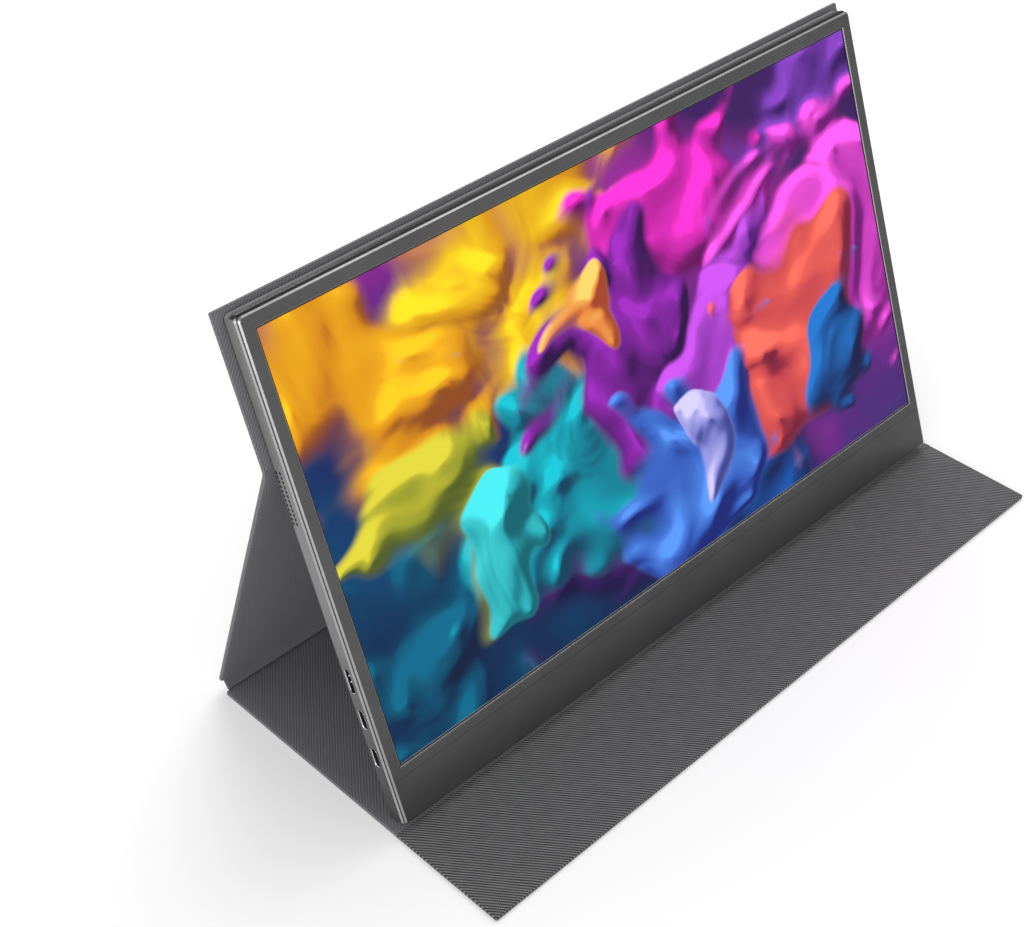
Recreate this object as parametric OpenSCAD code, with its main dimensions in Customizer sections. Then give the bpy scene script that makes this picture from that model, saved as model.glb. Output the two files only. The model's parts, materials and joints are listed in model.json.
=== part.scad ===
// Portable 15.6 inch monitor standing on its folding fabric cover.
// Millimetres. +Z is up, the screen faces -Y, Z = 0 is the desk.
// Y = 0 is the middle of the footprint, from the front flap's edge to the leg's foot.
//
// Local frame of the monitor: x across, z up its height from the bottom edge,
// and depth measured forward from its rear face (local y = -depth).
// Local frame of a cover panel: z runs along the cover from front to back and up,
// the outer face is at y = 0 and the inner face at y = -cover_t.

/* [Screen] */
// Width of the lit screen area, 15.6 inch 16:9
screen_w = 344.2; // [300:0.1:380]
// Height of the lit screen area
screen_h = 193.6; // [170:0.1:215]
// Depth of the glass below the bezel's front face
screen_recess = 0.8; // [0.6:0.1:1.4]
// Thickness of the liquid crystal cell's two glass plates together
glass_t = 1; // [0.6:0.1:1.4]

/* [Monitor] */
// Overall thickness of the monitor
monitor_t = 9.8; // [9.6:0.1:14]
// Bezel beside the screen, measured to the front frame's outer edge
bezel_side = 6.5; // [5.5:0.1:14]
// Bezel above the screen
bezel_top = 6.9; // [5.5:0.1:16]
// Chin below the screen
chin_h = 25.7; // [24:0.1:45]
// Height of the fixed bar between the screen and the chin cover
chin_bar_h = 5.5; // [3:0.1:8]
// Height of the front frame along the monitor's depth
frame_t = 1.7; // [1.5:0.1:2.4]
// Width by which the rear shell stands out around the front frame
frame_step = 0.6; // [0.3:0.1:1.2]
// Chamfer on the outer edges of the shell and the frame
edge_chamfer = 0.65; // [0.3:0.05:0.8]
// Corner radius of the shell at the top
corner_top_r = 2.6; // [2:0.1:7]
// Corner radius of the shell at the bottom
corner_bottom_r = 1.6; // [1.5:0.1:4]
// Rounding of the shell's rear edges
rear_edge_r = 0.8; // [0.3:0.1:0.9]
// Thickness of the shell's rear wall
shell_back_t = 1; // [0.9:0.1:1.3]
// Thickness of the shell's side walls
shell_wall_t = 1.2; // [1:0.1:1.4]
// Gap of the visible seams between two housing pieces
seam_gap = 0.12; // [0.08:0.01:0.2]

/* [Ports] */
// Depth of the ports and keys, from the rear face to their middle
port_depth = 3.8; // [3.7:0.05:3.9]
// Height of the mini HDMI port along the side
hdmi_z = 69.3; // [64:0.1:74]
// Height of the upper USB-C port along the side
usb_upper_z = 50.8; // [47:0.1:52]
// Height of the lower USB-C port along the side
usb_lower_z = 32.4; // [28:0.1:34]
// Height of the headphone socket along the side, inside the chin
jack_z = 11.5; // [10:0.1:13]
// Bore radius of the 3.5 mm headphone socket
jack_bore_r = 1.8; // [1.76:0.01:1.85]
// Depth of the headphone socket's bore
jack_bore_len = 14; // [12:0.5:15]

/* [Speakers] */
// Height of the speakers' middle along the sides
speaker_z = 151.9; // [130:0.1:160]
// Number of grille holes in one row
grille_count = 12; // [4:1:12]
// Distance between neighbouring grille holes in a row
grille_pitch = 2; // [1.6:0.1:2.1]
// Length of one grille hole
grille_hole_l = 1.4; // [1:0.1:1.5]
// Width of one grille hole
grille_hole_w = 0.9; // [0.6:0.1:1]
// Depth of the two rows of grille holes, from the rear face
grille_rows = [1.7, 4.1];

/* [Keys] */
// Height of the menu rocker's middle along the right side
rocker_z = 78; // [74:0.5:82]
// Length of the menu rocker
rocker_l = 24; // [18:0.5:26]
// Height of the power button's middle along the right side
power_z = 104; // [102:0.5:110]
// Length of the power button
power_l = 12; // [8:0.5:14]
// Width of both keys
key_w = 3.2; // [2.4:0.1:3.4]
// How far both keys stand out of the side
key_proud = 0.35; // [0.1:0.05:0.6]
// Clearance around the keys in the shell
key_clear = 0.2; // [0.15:0.01:0.3]
// Radius of the rocker's pin
rocker_pin_r = 0.6; // [0.5:0.05:0.7]

/* [Cover] */
// How far the folding cover stands out beside the monitor
cover_side = 3.8; // [1.8:0.1:20]
// Thickness of a cover panel
cover_t = 2.2; // [1.8:0.1:3]
// Thickness of the outer fabric and of the lining
fabric_t = 0.5; // [0.3:0.05:0.6]
// Width of the fabric turned round a panel's edge
fabric_turn = 0.7; // [0.5:0.1:1.5]
// Corner radius of the cover's outer corners
cover_corner_r = 0.8; // [0.5:0.1:1.5]
// Length of the upper panel, which is bonded to the monitor
upper_len = 66.3; // [50:0.1:90]
// Height of the cover's top edge above the monitor's top
cover_over = 2.3; // [0:0.1:5]
// Length of the leg panel
leg_len = 158.3; // [140:0.1:160]
// Length of the soft strip between the leg and the base
strip_len = 7.2; // [6:0.1:13]
// Rest angle of the soft strip above the desk
strip_angle = 53.4; // [35:0.1:60]
// Inset of the soft strip's ends from the cover's sides
strip_inset = 2; // [0:0.1:6]
// Length of the base panel, from the front crease to the rear fold
base_len = 116.5; // [100:0.1:130]
// Length of the front flap
flap_len = 57.2; // [40:0.1:90]
// Distance from the front crease back to the monitor's resting edge
foot_set = 9; // [8.6:0.1:14]
// Width left soft beside each fold, where the boards stop
fold_margin = 3; // [2:0.1:6]
// Thickness of the sheet that bonds the upper panel to the shell
bond_t = 0.2; // [0.1:0.05:0.4]

/* [Clearances] */
// Clearance between the monitor's resting edge and the base
foot_gap = 0.1; // [0.05:0.01:0.3]
// Clearance that a folded panel keeps from its neighbour at a fold
fold_clear = 0.3; // [0.2:0.05:0.5]
// Clearance around pieces that sit in a pocket or a cut-out
fit_gap = 0.1; // [0.05:0.01:0.15]
// Radial clearance of the rocker on its pin
pin_clear = 0.04; // [0.02:0.01:0.08]
// Radial clearance of the pin in its bracket
pin_seat = 0.01; // [0.01:0.005:0.02]

/* [Hidden] */
eps = 0.01;
$fn = 48;

// ---- colours -------------------------------------------------------------
metal = [0.44, 0.44, 0.45];
satin = [0.33, 0.33, 0.34];
cloth = [0.30, 0.30, 0.32];
card = [0.62, 0.58, 0.50];
green = [0.05, 0.32, 0.16];
steel = [0.70, 0.70, 0.72];
black = [0.07, 0.07, 0.08];
copper = [0.75, 0.45, 0.20];

// ---- monitor: plan -------------------------------------------------------
frame_w = screen_w + 2 * bezel_side;
frame_h = screen_h + bezel_top + chin_h;
shell_w = frame_w + 2 * frame_step;
shell_h = frame_h + 2 * frame_step;
half_w = shell_w / 2;
inner_half_w = half_w - shell_wall_t;
screen_z = frame_step + chin_h;
chin_seam_z = screen_z - chin_bar_h;

// ---- monitor: depth stack, from the rear face ------------------------------
frame_d = monitor_t - frame_t;
shell_d = frame_d - seam_gap;
lip_t = 0.5;
gasket_d = monitor_t - screen_recess;
glass_d = gasket_d - glass_t;
film_t = 0.4;
film_d = glass_d - film_t;
guide_t = 1.5;
guide_d = film_d - guide_t;
reflector_t = 0.15;
reflector_d = guide_d - reflector_t;
tray_t = 0.25;
tray_d = reflector_d - tray_t;
tray_rim_d = glass_d + 0.6 * glass_t;

// ---- screen module -------------------------------------------------------
glass_side = 1.6;
glass_ledge = 4.5;
ledge_bare = 2.5;
glass_half_w = screen_w / 2 + glass_side;
glass_z0 = screen_z - glass_ledge;
glass_z1 = screen_z + screen_h + glass_side;
guide_side = 1;
gasket_bare = 1.9;
led_h = 2.8;
led_pitch = 7;
led_board_h = led_h - 2 * fit_gap;
led_board_t = 0.2;
led_size = [3.8, 1.4, 0.7];
tray_clear = 0.25;
tray_half_w = glass_half_w + tray_clear + tray_t;
tray_z0 = glass_z0 - tray_clear - tray_t;
tray_z1 = glass_z1 + tray_clear + tray_t;
window_gap = 0.7;
tongue_t = 1;
tongue_l = 1.2;

// ---- electronics ---------------------------------------------------------
board_t = 0.8;
standoff_h = 0.9;
board_d = shell_back_t + standoff_h;
board_top_d = board_d + board_t;
board_wall_gap = 0.8;
main_board_w = 62;
main_board_x0 = -inner_half_w + board_wall_gap;
main_board_x1 = main_board_x0 + main_board_w;
main_board_z = [18, 82];
panel_board_w = 276;
panel_board_z = [7.5, 17.5];
panel_board_d = glass_d + glass_t / 2 - board_t;
panel_chip = [8, 5.5, 0.9];
panel_chip_x = [-80, -30, 35, 85];
panel_chip_inset = 1.5;
flex_t = 0.1;
flex_w = 30;
flex_count = 5;
flex_end_inset = 4;
flex_land = 3;
flex_step = 0.2;
ribbon_t = 0.2;
ribbon_rise = 2;
ribbon_z = [52, 62];
cable_w = 18;
cable_inset = 8;
cable_drop = 1.5;
cable_land = 1.2;
cable_plug = [2, 3, 0.9];
cable_plug_z = 4;
chip_big = [12, 12, 1.2];
chip_memory = [11, 8, 1];
chip_power = [8, 8, 1.4];
chip_coil = [5, 6, 2];
chip_coil_pitch = 15;
chip_small = [3.4, 2.6, 1.2];
chip_small_pitch = 8;
chip_grid_x = [16, 27, 30, 40, 47];
chip_grid_z = [8, 9, 27, 50];
can_x = [25, 55];
can_z = [15, 40];
can_h = 1.8;
can_t = 0.2;
side_board_w = 7.4;
side_board_inset = 6;
side_board_x = [half_w - side_board_inset - side_board_w, half_w - side_board_inset];
side_board_top_z = 112;
screw_inset = [5, 4];
side_screw_inset = [7, 20];
side_screw_x = 2.6;
screw_r = 0.75;
screw_head_r = 1.7;
screw_head_h = 0.6;
boss_r = 2.2;
screw_hole_r = screw_r + 0.05;
socket_gap = 0.15;
mouth_inset = 0.8;
usb_l = 8.94;
usb_h = 3.2;
usb_len = 7.4;
hdmi_l = 11.2;
hdmi_len = 8;
jack_body = [15.6, 5.6, 6];
jack_nose_r = 2.6;
jack_nose_gap = 0.15;
socket_wall = 0.3;
tongue_inset = 0.9;
usb_tongue = [6.7, 0.7];
hdmi_tongue = [8, 0.6];
hdmi_cut = 1.1;
side_board_z = [jack_z + jack_body[2] / 2 + fit_gap, side_board_top_z];

// ---- keys ----------------------------------------------------------------
key_face_x = half_w + key_proud;
key_flange_gap = 0.3;
key_flange_t = 0.8;
key_flange_over = 1.1;
rocker_arm_t = 2;
rocker_arm_inset = 0.4;
rocker_arm_x1 = inner_half_w - rocker_arm_inset;
rocker_arm_x = [rocker_arm_x1 - rocker_arm_t, rocker_arm_x1];
rocker_arm_half = (rocker_l - key_w) / 2;
rocker_pivot_x = (rocker_arm_x[0] + rocker_arm_x[1]) / 2;
bracket_ear_t = 0.9;
bracket_bridge_t = 0.8;
bracket_gap = 0.25;
bracket_half = 2.5;
switch_body = [4.1, 2.2, 5];
plunger_l = 0.7;
plunger_r = 0.8;
key_air = 0.5;
switch_x1 = rocker_arm_x[0] - key_air - plunger_l;
switch_end_inset = 3;
power_stem = [3, 2];

// ---- speakers ------------------------------------------------------------
speaker_l = 26.5;
speaker_w = 10;
speaker_h = 4.2;
mesh_t = 0.2;
speaker_d = shell_back_t + fit_gap;
speaker_wall_t = 1;
speaker_lid_t = 0.5;
speaker_mouth = 3;
cone_t = 0.8;
cone_gap = 0.3;
lead_w = 1.6;
lead_t = 0.8;
lead_land = 3;
lead_x = [8, 4.6];

// ---- cover: places of the folds, before the footprint is centred ----------
cover_w = shell_w + 2 * cover_side;
inner_t = cover_t - 2 * fabric_t;
strip_t = 2 * fabric_t + 0.2;
fold_s = shell_h + cover_over - upper_len;
fold_off = bond_t + cover_t;
crease_y = -foot_set;
rear_fold = [crease_y + base_len, 0];
leg_fold = rear_fold + strip_len * [cos(strip_angle), sin(strip_angle)];
edge_lift = 0.275 * rear_edge_r;
foot = [0, cover_t + foot_gap - edge_lift];
foot_to_leg = leg_fold - foot;
span = norm(foot_to_leg);
foot_radius = norm([fold_s, fold_off]);
corner_angle = acos((pow(foot_radius, 2) + pow(span, 2) - pow(leg_len, 2)) / (2 * foot_radius * span));
fold_angle = atan2(foot_to_leg[1], foot_to_leg[0]) + corner_angle;
upper_fold = foot + foot_radius * [cos(fold_angle), sin(fold_angle)];
monitor_angle = fold_angle + atan(fold_off / fold_s);
leg_vector = upper_fold - leg_fold;
leg_angle = atan2(leg_vector[1], leg_vector[0]);

// How far a panel stops short of a fold, so that it clears its thinner neighbour
function fold_room(turn, back) = strip_t * sin(turn) - back * cos(turn) + fold_clear;

strip_setback = [0.6, 0.5];
base_setback = fold_room(strip_angle, strip_setback[0]);
leg_setback = fold_room(leg_angle - strip_angle, strip_setback[1]);
fold_setback = 0.25;

// Footprint centred on Y = 0
front_y = crease_y - flap_len;
strip_end = rear_fold + (strip_len - strip_setback[1]) * [cos(strip_angle), sin(strip_angle)];
leg_end = leg_fold + leg_setback * [cos(leg_angle), sin(leg_angle)];
back_y = max(strip_end[0], leg_end[0]);
shift_y = -(front_y + back_y) / 2;

// ---- placing -------------------------------------------------------------

// Puts a local frame at point p of the side view, its z axis at this angle above +Y
module place(p, angle) {
    translate([0, p[0] + shift_y, p[1]])
        rotate([angle - 90, 0, 0])
            children();
}

// The monitor's local frame
module on_monitor() {
    place(foot, monitor_angle)
        children();
}

// An outline (x across, y up) as a layer from depth d0 to d1
module layer(d0, d1) {
    translate([0, -d0, 0])
        rotate([90, 0, 0])
            linear_extrude(d1 - d0)
                children();
}

// A rectangle from x0 to x1 and z0 to z1
module span_rect(x0, x1, z0, z1) {
    translate([x0, z0])
        square([x1 - x0, z1 - z0]);
}

// A box in the monitor's frame, given by its ranges across, up and in depth
module cell(x, z, d) {
    layer(d[0], d[1])
        span_rect(x[0], x[1], z[0], z[1]);
}

// A slot outline with round ends, l along y and w along x
module slot2d(l, w) {
    square([w, l - w], center = true);
    for (side = [-1, 1])
        translate([0, side * (l - w) / 2])
            circle(d = w);
}

// A slot through a side wall, from x0 to x1, centred at height z and depth d
module side_slot(x0, x1, z, d, l, w) {
    translate([x0, -d, z])
        rotate([90, 0, 90])
            linear_extrude(x1 - x0)
                slot2d(l, w);
}

// A cylinder across the monitor, from x0 to x1
module side_rod(x0, x1, z, d, r) {
    translate([x0, -d, z])
        rotate([0, 90, 0])
            cylinder(r = r, h = x1 - x0);
}

// A cylinder along the depth, from d0 to d1
module depth_rod(x, z, d0, d1, r) {
    translate([x, -d0, z])
        rotate([90, 0, 0])
            cylinder(r = r, h = d1 - d0);
}

// Rounded plan outline with its own radii at the top and the bottom
module plan(w, h, r_top, r_bottom) {
    span_rect(-w / 2 + r_top, w / 2 - r_top, r_bottom, h);
    span_rect(-w / 2, w / 2, r_bottom, h - r_top);
    span_rect(-w / 2 + r_bottom, w / 2 - r_bottom, 0, h / 2);
    for (side = [-1, 1]) {
        translate([side * (w / 2 - r_top), h - r_top])
            circle(r = r_top);
        translate([side * (w / 2 - r_bottom), r_bottom])
            circle(r = r_bottom);
    }
}

// Half of an edge's cross-section: points are [inset from the outline, depth]
function edge_span(edge, reach) = concat(
    edge,
    [[reach, edge[len(edge) - 1][1]], [reach, edge[0][1]]]
);

// A straight bar with the edge profile on its outer side, along x
module edge_bar(edge, reach, x0, x1) {
    translate([x0, 0, 0])
        rotate([90, 0, 90])
            linear_extrude(x1 - x0)
                polygon([for (p = edge_span(edge, reach)) [-p[1], p[0]]]);
}

// A round corner with the edge profile
module edge_corner(edge, r, x, z) {
    translate([x, 0, z])
        rotate([90, 0, 0])
            rotate_extrude()
                polygon([for (p = edge_span(edge, r)) [r - p[0], p[1]]]);
}

// A plate whose rim has the edge profile all round, as exact surfaces
module profiled_plate(w, h, r_top, r_bottom, edge) {
    mid = h / 2;
    edge_bar(edge, mid + eps, -w / 2 + r_bottom, w / 2 - r_bottom);
    translate([0, 0, h])
        mirror([0, 0, 1])
            edge_bar(edge, mid + eps, -w / 2 + r_top, w / 2 - r_top);
    for (side = [-1, 1]) {
        translate([side * w / 2, 0, r_bottom])
            mirror([side > 0 ? 1 : 0, 0, 0])
                linear_extrude(h - r_top - r_bottom)
                    polygon([for (p = edge_span(edge, w / 4)) [p[0], -p[1]]]);
        edge_corner(edge, r_top, side * (w / 2 - r_top), h - r_top);
        edge_corner(edge, r_bottom, side * (w / 2 - r_bottom), r_bottom);
    }
}

// ---- monitor housing -------------------------------------------------------

// Rear edge rounded in four steps, front edge chamfered
shell_edge = concat(
    [for (a = [0 : 22.5 : 90]) [rear_edge_r * (1 - sin(a)), rear_edge_r * (1 - cos(a))]],
    [[0, shell_d - edge_chamfer], [edge_chamfer, shell_d]]
);
frame_edge = [
    [0, frame_d],
    [0, monitor_t - edge_chamfer],
    [edge_chamfer, monitor_t]
];
grille_span = (grille_count - 1) * grille_pitch;
screw_points = [
    for (x = [main_board_x0 + screw_inset[0], main_board_x1 - screw_inset[1]])
        for (z = [main_board_z[0] + screw_inset[0], main_board_z[1] - screw_inset[1]])
            [x, z],
    for (z = [side_board_z[0] + side_screw_inset[0], side_board_z[1] - side_screw_inset[1]])
        [side_board_x[0] + side_screw_x, z]
];

// Cuts for the sockets, the keys and the grilles in the shell's sides
module shell_side_cuts() {
    out = half_w + 1;
    in = inner_half_w - 1;
    translate([-out, -port_depth, hdmi_z])
        rotate([90, 0, 90])
            linear_extrude(out - in)
                hdmi_outline(-socket_gap);
    for (z = [usb_upper_z, usb_lower_z])
        side_slot(-out, -in, z, port_depth, usb_l + 2 * socket_gap, usb_h + 2 * socket_gap);
    side_slot(in, out, rocker_z, port_depth, rocker_l + 2 * key_clear, key_w + 2 * key_clear);
    side_slot(in, out, power_z, port_depth, power_l + 2 * key_clear, key_w + 2 * key_clear);
    side_rod(in, out, jack_z, port_depth, jack_nose_r + jack_nose_gap);
    for (i = [0 : grille_count - 1])
        for (row = grille_rows)
            for (side = [-1, 1])
                side_slot(side > 0 ? in : -out, side > 0 ? out : -in,
                    speaker_z - grille_span / 2 + i * grille_pitch, row, grille_hole_l, grille_hole_w);
}

module rear_shell() {
    color(metal)
        on_monitor() {
            difference() {
                profiled_plate(shell_w, shell_h, corner_top_r, corner_bottom_r, shell_edge);
                layer(shell_back_t, shell_d + 1)
                    translate([0, shell_wall_t])
                        plan(2 * inner_half_w, shell_h - 2 * shell_wall_t,
                            corner_top_r - shell_wall_t, corner_bottom_r - shell_wall_t);
                shell_side_cuts();
            }
            for (p = screw_points)
                difference() {
                    depth_rod(p[0], p[1], shell_back_t - eps, board_d, boss_r);
                    depth_rod(p[0], p[1], shell_back_t + fit_gap, board_d + 1, screw_hole_r);
                }
        }
}

// The front ring and chin in one outline, before the seam divides them
module front_blank() {
    inner_w = 2 * (inner_half_w - fit_gap - tongue_t);
    translate([0, 0, frame_step])
        profiled_plate(frame_w, frame_h, corner_top_r - frame_step,
            corner_bottom_r - frame_step, frame_edge);
    difference() {
        layer(frame_d - tongue_l, frame_d + eps)
            translate([0, shell_wall_t + fit_gap])
                plan(2 * (inner_half_w - fit_gap), shell_h - 2 * (shell_wall_t + fit_gap),
                    corner_top_r - shell_wall_t, corner_bottom_r - shell_wall_t);
        layer(0, monitor_t)
            span_rect(-inner_w / 2, inner_w / 2, shell_wall_t + fit_gap + tongue_t,
                shell_h - shell_wall_t - fit_gap - tongue_t);
    }
}

// The hollow behind the front face, open towards the rear
module front_hollow() {
    inner_w = 2 * (inner_half_w - fit_gap - tongue_t);
    layer(frame_d - tongue_l - 1, monitor_t - lip_t)
        span_rect(-inner_w / 2, inner_w / 2, shell_wall_t + fit_gap + tongue_t,
            shell_h - shell_wall_t - fit_gap - tongue_t);
}

module front_frame() {
    color(satin)
        on_monitor()
            difference() {
                front_blank();
                front_hollow();
                layer(0, monitor_t + 1)
                    span_rect(-screen_w / 2 - window_gap, screen_w / 2 + window_gap,
                        screen_z - window_gap, screen_z + screen_h + window_gap);
                layer(0, monitor_t + 1)
                    span_rect(-half_w, half_w, -1, chin_seam_z + seam_gap / 2);
            }
}

module chin_strip() {
    color(satin)
        on_monitor()
            difference() {
                front_blank();
                front_hollow();
                layer(0, monitor_t + 1)
                    span_rect(-half_w, half_w, chin_seam_z - seam_gap / 2, shell_h + 1);
            }
}

// ---- screen module -------------------------------------------------------

module screen_gasket() {
    border = glass_side + tray_clear;
    color(black)
        on_monitor()
            layer(gasket_d, monitor_t - lip_t)
                difference() {
                    span_rect(-screen_w / 2 - border, screen_w / 2 + border,
                        screen_z - gasket_bare, screen_z + screen_h + border);
                    span_rect(-screen_w / 2, screen_w / 2, screen_z, screen_z + screen_h);
                }
}

module lcd_cell() {
    color([0.10, 0.25, 0.45])
        on_monitor() {
            cell([-glass_half_w, glass_half_w], [glass_z0, glass_z1],
                [glass_d, glass_d + glass_t / 2]);
            cell([-glass_half_w, glass_half_w], [glass_z0 + ledge_bare, glass_z1],
                [glass_d + glass_t / 2, gasket_d]);
        }
}

module film_stack() {
    color([0.93, 0.93, 0.95])
        on_monitor()
            cell([-screen_w / 2 - guide_side, screen_w / 2 + guide_side],
                [tray_z0 + tray_t + led_h, screen_z + screen_h + guide_side], [film_d, glass_d]);
}

module light_guide() {
    color([0.85, 0.92, 0.95])
        on_monitor()
            cell([-screen_w / 2 - guide_side, screen_w / 2 + guide_side],
                [tray_z0 + tray_t + led_h, screen_z + screen_h + guide_side], [guide_d, film_d]);
}

module reflector_sheet() {
    color("white")
        on_monitor()
            cell([-screen_w / 2 - guide_side, screen_w / 2 + guide_side],
                [tray_z0 + tray_t, screen_z + screen_h + guide_side], [reflector_d, guide_d]);
}

module panel_tray() {
    color(steel)
        on_monitor()
            difference() {
                cell([-tray_half_w, tray_half_w], [tray_z0, tray_z1], [tray_d, tray_rim_d]);
                cell([-tray_half_w + tray_t, tray_half_w - tray_t],
                    [tray_z0 + tray_t, tray_z1 - tray_t], [reflector_d, monitor_t]);
                cell([-panel_board_w / 2, panel_board_w / 2],
                    [tray_z0 - 1, tray_z0 + tray_t + eps], [glass_d + glass_t / 4, monitor_t]);
            }
}

module led_bar() {
    led_count = floor(screen_w / led_pitch);
    z = [tray_z0 + tray_t + fit_gap, tray_z0 + tray_t + fit_gap + led_board_h];
    d = guide_d + led_board_t;
    color("gold")
        on_monitor() {
            cell([-screen_w / 2, screen_w / 2], z, [guide_d, d]);
            for (i = [0 : led_count - 1])
                translate([(i - (led_count - 1) / 2) * led_pitch, 0, 0])
                    cell([-led_size[0] / 2, led_size[0] / 2], [z[1] - led_size[1], z[1]],
                        [d - eps, d + led_size[2]]);
        }
}

// ---- electronics ---------------------------------------------------------

module panel_board() {
    color(green)
        on_monitor() {
            cell([-panel_board_w / 2, panel_board_w / 2], panel_board_z,
                [panel_board_d, panel_board_d + board_t]);
            for (x = panel_chip_x)
                translate([x, 0, panel_board_z[0] + panel_chip_inset])
                    cell([-panel_chip[0] / 2, panel_chip[0] / 2], [0, panel_chip[1]],
                        [panel_board_d - panel_chip[2], panel_board_d + eps]);
        }
}

module panel_flexes() {
    pitch = (panel_board_w - flex_w - 2 * flex_end_inset) / (flex_count - 1);
    color(copper)
        on_monitor()
            for (i = [0 : flex_count - 1])
                translate([(i - (flex_count - 1) / 2) * pitch, 0, 0])
                    cell([-flex_w / 2, flex_w / 2],
                        [panel_board_z[1] - flex_land, glass_z0 + ledge_bare - flex_step],
                        [glass_d + glass_t / 2, glass_d + glass_t / 2 + flex_t]);
}

// Ribbon from the main board, under the tray's edge, to the panel board
module display_cable() {
    x1 = main_board_x1 - cable_inset;
    x = [x1 - cable_w, x1];
    drop_z = panel_board_z[0] - cable_drop;
    top_z = main_board_z[0] + cable_plug_z;
    near_d = board_top_d + cable_plug[2];
    far_d = panel_board_d - ribbon_t;
    color([0.20, 0.22, 0.28])
        on_monitor() {
            cell(x, [top_z - cable_plug[0], top_z + cable_plug[1]], [board_top_d, near_d]);
            cell(x, [drop_z, top_z], [near_d, near_d + ribbon_t]);
            cell(x, [drop_z, drop_z + ribbon_t], [near_d, far_d + ribbon_t]);
            cell(x, [drop_z, panel_board_z[0] + cable_land], [far_d, far_d + ribbon_t]);
        }
}

module main_board() {
    color(green)
        on_monitor()
            difference() {
                cell([main_board_x0, main_board_x1], main_board_z, [board_d, board_top_d]);
                socket_notch(hdmi_z, hdmi_l, hdmi_len);
                socket_notch(usb_upper_z, usb_l, usb_len);
                socket_notch(usb_lower_z, usb_l, usb_len);
                for (p = screw_points)
                    depth_rod(p[0], p[1], 0, monitor_t, screw_r + fit_gap);
            }
}

// Notch in the main board's edge where a socket sits in it
module socket_notch(z, l, depth) {
    x0 = -half_w;
    cell([x0, x0 + mouth_inset + depth + fit_gap],
        [z - l / 2 - fit_gap, z + l / 2 + fit_gap], [0, monitor_t]);
}

module board_chips() {
    color(black)
        on_monitor() {
            chip(chip_grid_x[3], chip_grid_z[2], chip_big);
            chip(chip_grid_x[4], chip_grid_z[3], chip_memory);
            chip(chip_grid_x[2], chip_grid_z[3], chip_power);
            for (i = [0 : 2])
                chip(chip_grid_x[0], chip_grid_z[0] + i * chip_coil_pitch, chip_coil);
            for (i = [0 : 3])
                chip(chip_grid_x[1] + i * chip_small_pitch, chip_grid_z[1], chip_small);
        }
}

// One chip centred at (x, z) from the main board's corner; size is across, up and in height
module chip(x, z, size) {
    translate([main_board_x0 + x, 0, main_board_z[0] + z])
        cell([-size[0] / 2, size[0] / 2], [-size[1] / 2, size[1] / 2],
            [board_top_d, board_top_d + size[2]]);
}

module shield_can() {
    color(steel)
        on_monitor()
            translate([main_board_x0, 0, main_board_z[0]])
                difference() {
                    cell(can_x, can_z, [board_top_d, board_top_d + can_h]);
                    cell([can_x[0] + can_t, can_x[1] - can_t], [can_z[0] + can_t, can_z[1] - can_t],
                        [board_top_d - 1, board_top_d + can_h - can_t]);
                }
}

// A USB-C socket at height z on the left side
module usb_c_socket(z) {
    x0 = -half_w + mouth_inset;
    color(steel)
        on_monitor() {
            difference() {
                side_slot(x0, x0 + usb_len, z, port_depth, usb_l, usb_h);
                side_slot(x0 - 1, x0 + usb_len - 1, z, port_depth,
                    usb_l - 2 * socket_wall, usb_h - 2 * socket_wall);
            }
            socket_tongue(x0, usb_len, z, usb_tongue);
        }
}

// The contact tongue inside a socket; size is along the side and in thickness
module socket_tongue(x0, len, z, size) {
    cell([x0 + tongue_inset, x0 + len - tongue_inset], [z - size[0] / 2, z + size[0] / 2],
        [port_depth - size[1] / 2, port_depth + size[1] / 2]);
}

module usb_c_socket_upper() {
    usb_c_socket(usb_upper_z);
}

module usb_c_socket_lower() {
    usb_c_socket(usb_lower_z);
}

// Outline of the mini HDMI plug: flat on one side, cut corners on the other
module hdmi_outline(inset) {
    l = hdmi_l / 2 - inset;
    h = usb_h / 2 - inset;
    c = hdmi_cut;
    polygon([[-h, l], [h - c, l], [h, l - c], [h, -l + c], [h - c, -l], [-h, -l]]);
}

module mini_hdmi_socket() {
    x0 = -half_w + mouth_inset;
    color(steel)
        on_monitor() {
            difference() {
                translate([x0, -port_depth, hdmi_z])
                    rotate([90, 0, 90])
                        linear_extrude(hdmi_len)
                            hdmi_outline(0);
                translate([x0 - 1, -port_depth, hdmi_z])
                    rotate([90, 0, 90])
                        linear_extrude(hdmi_len)
                            hdmi_outline(socket_wall);
            }
            socket_tongue(x0, hdmi_len, hdmi_z, hdmi_tongue);
        }
}

module side_board() {
    color(green)
        on_monitor()
            difference() {
                cell(side_board_x, side_board_z, [board_d, board_top_d]);
                for (p = screw_points)
                    depth_rod(p[0], p[1], 0, monitor_t, screw_r + fit_gap);
            }
}

// Flat ribbon that links the two boards along the shell's back
module side_ribbon() {
    x0 = main_board_x1;
    x1 = side_board_x[0];
    top_d = board_top_d + ribbon_t;
    color([0.85, 0.85, 0.80])
        on_monitor() {
            cell([x0 + fit_gap, x1 - fit_gap], ribbon_z, [shell_back_t, shell_back_t + ribbon_t]);
            for (x = [x0 + fit_gap, x1 - fit_gap - ribbon_t])
                cell([x, x + ribbon_t], ribbon_z, [shell_back_t, top_d]);
            cell([x0 - ribbon_rise, x0 + fit_gap + eps], ribbon_z, [board_top_d, top_d]);
            cell([x1 - fit_gap - eps, x1 + ribbon_rise], ribbon_z, [board_top_d, top_d]);
        }
}

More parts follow.
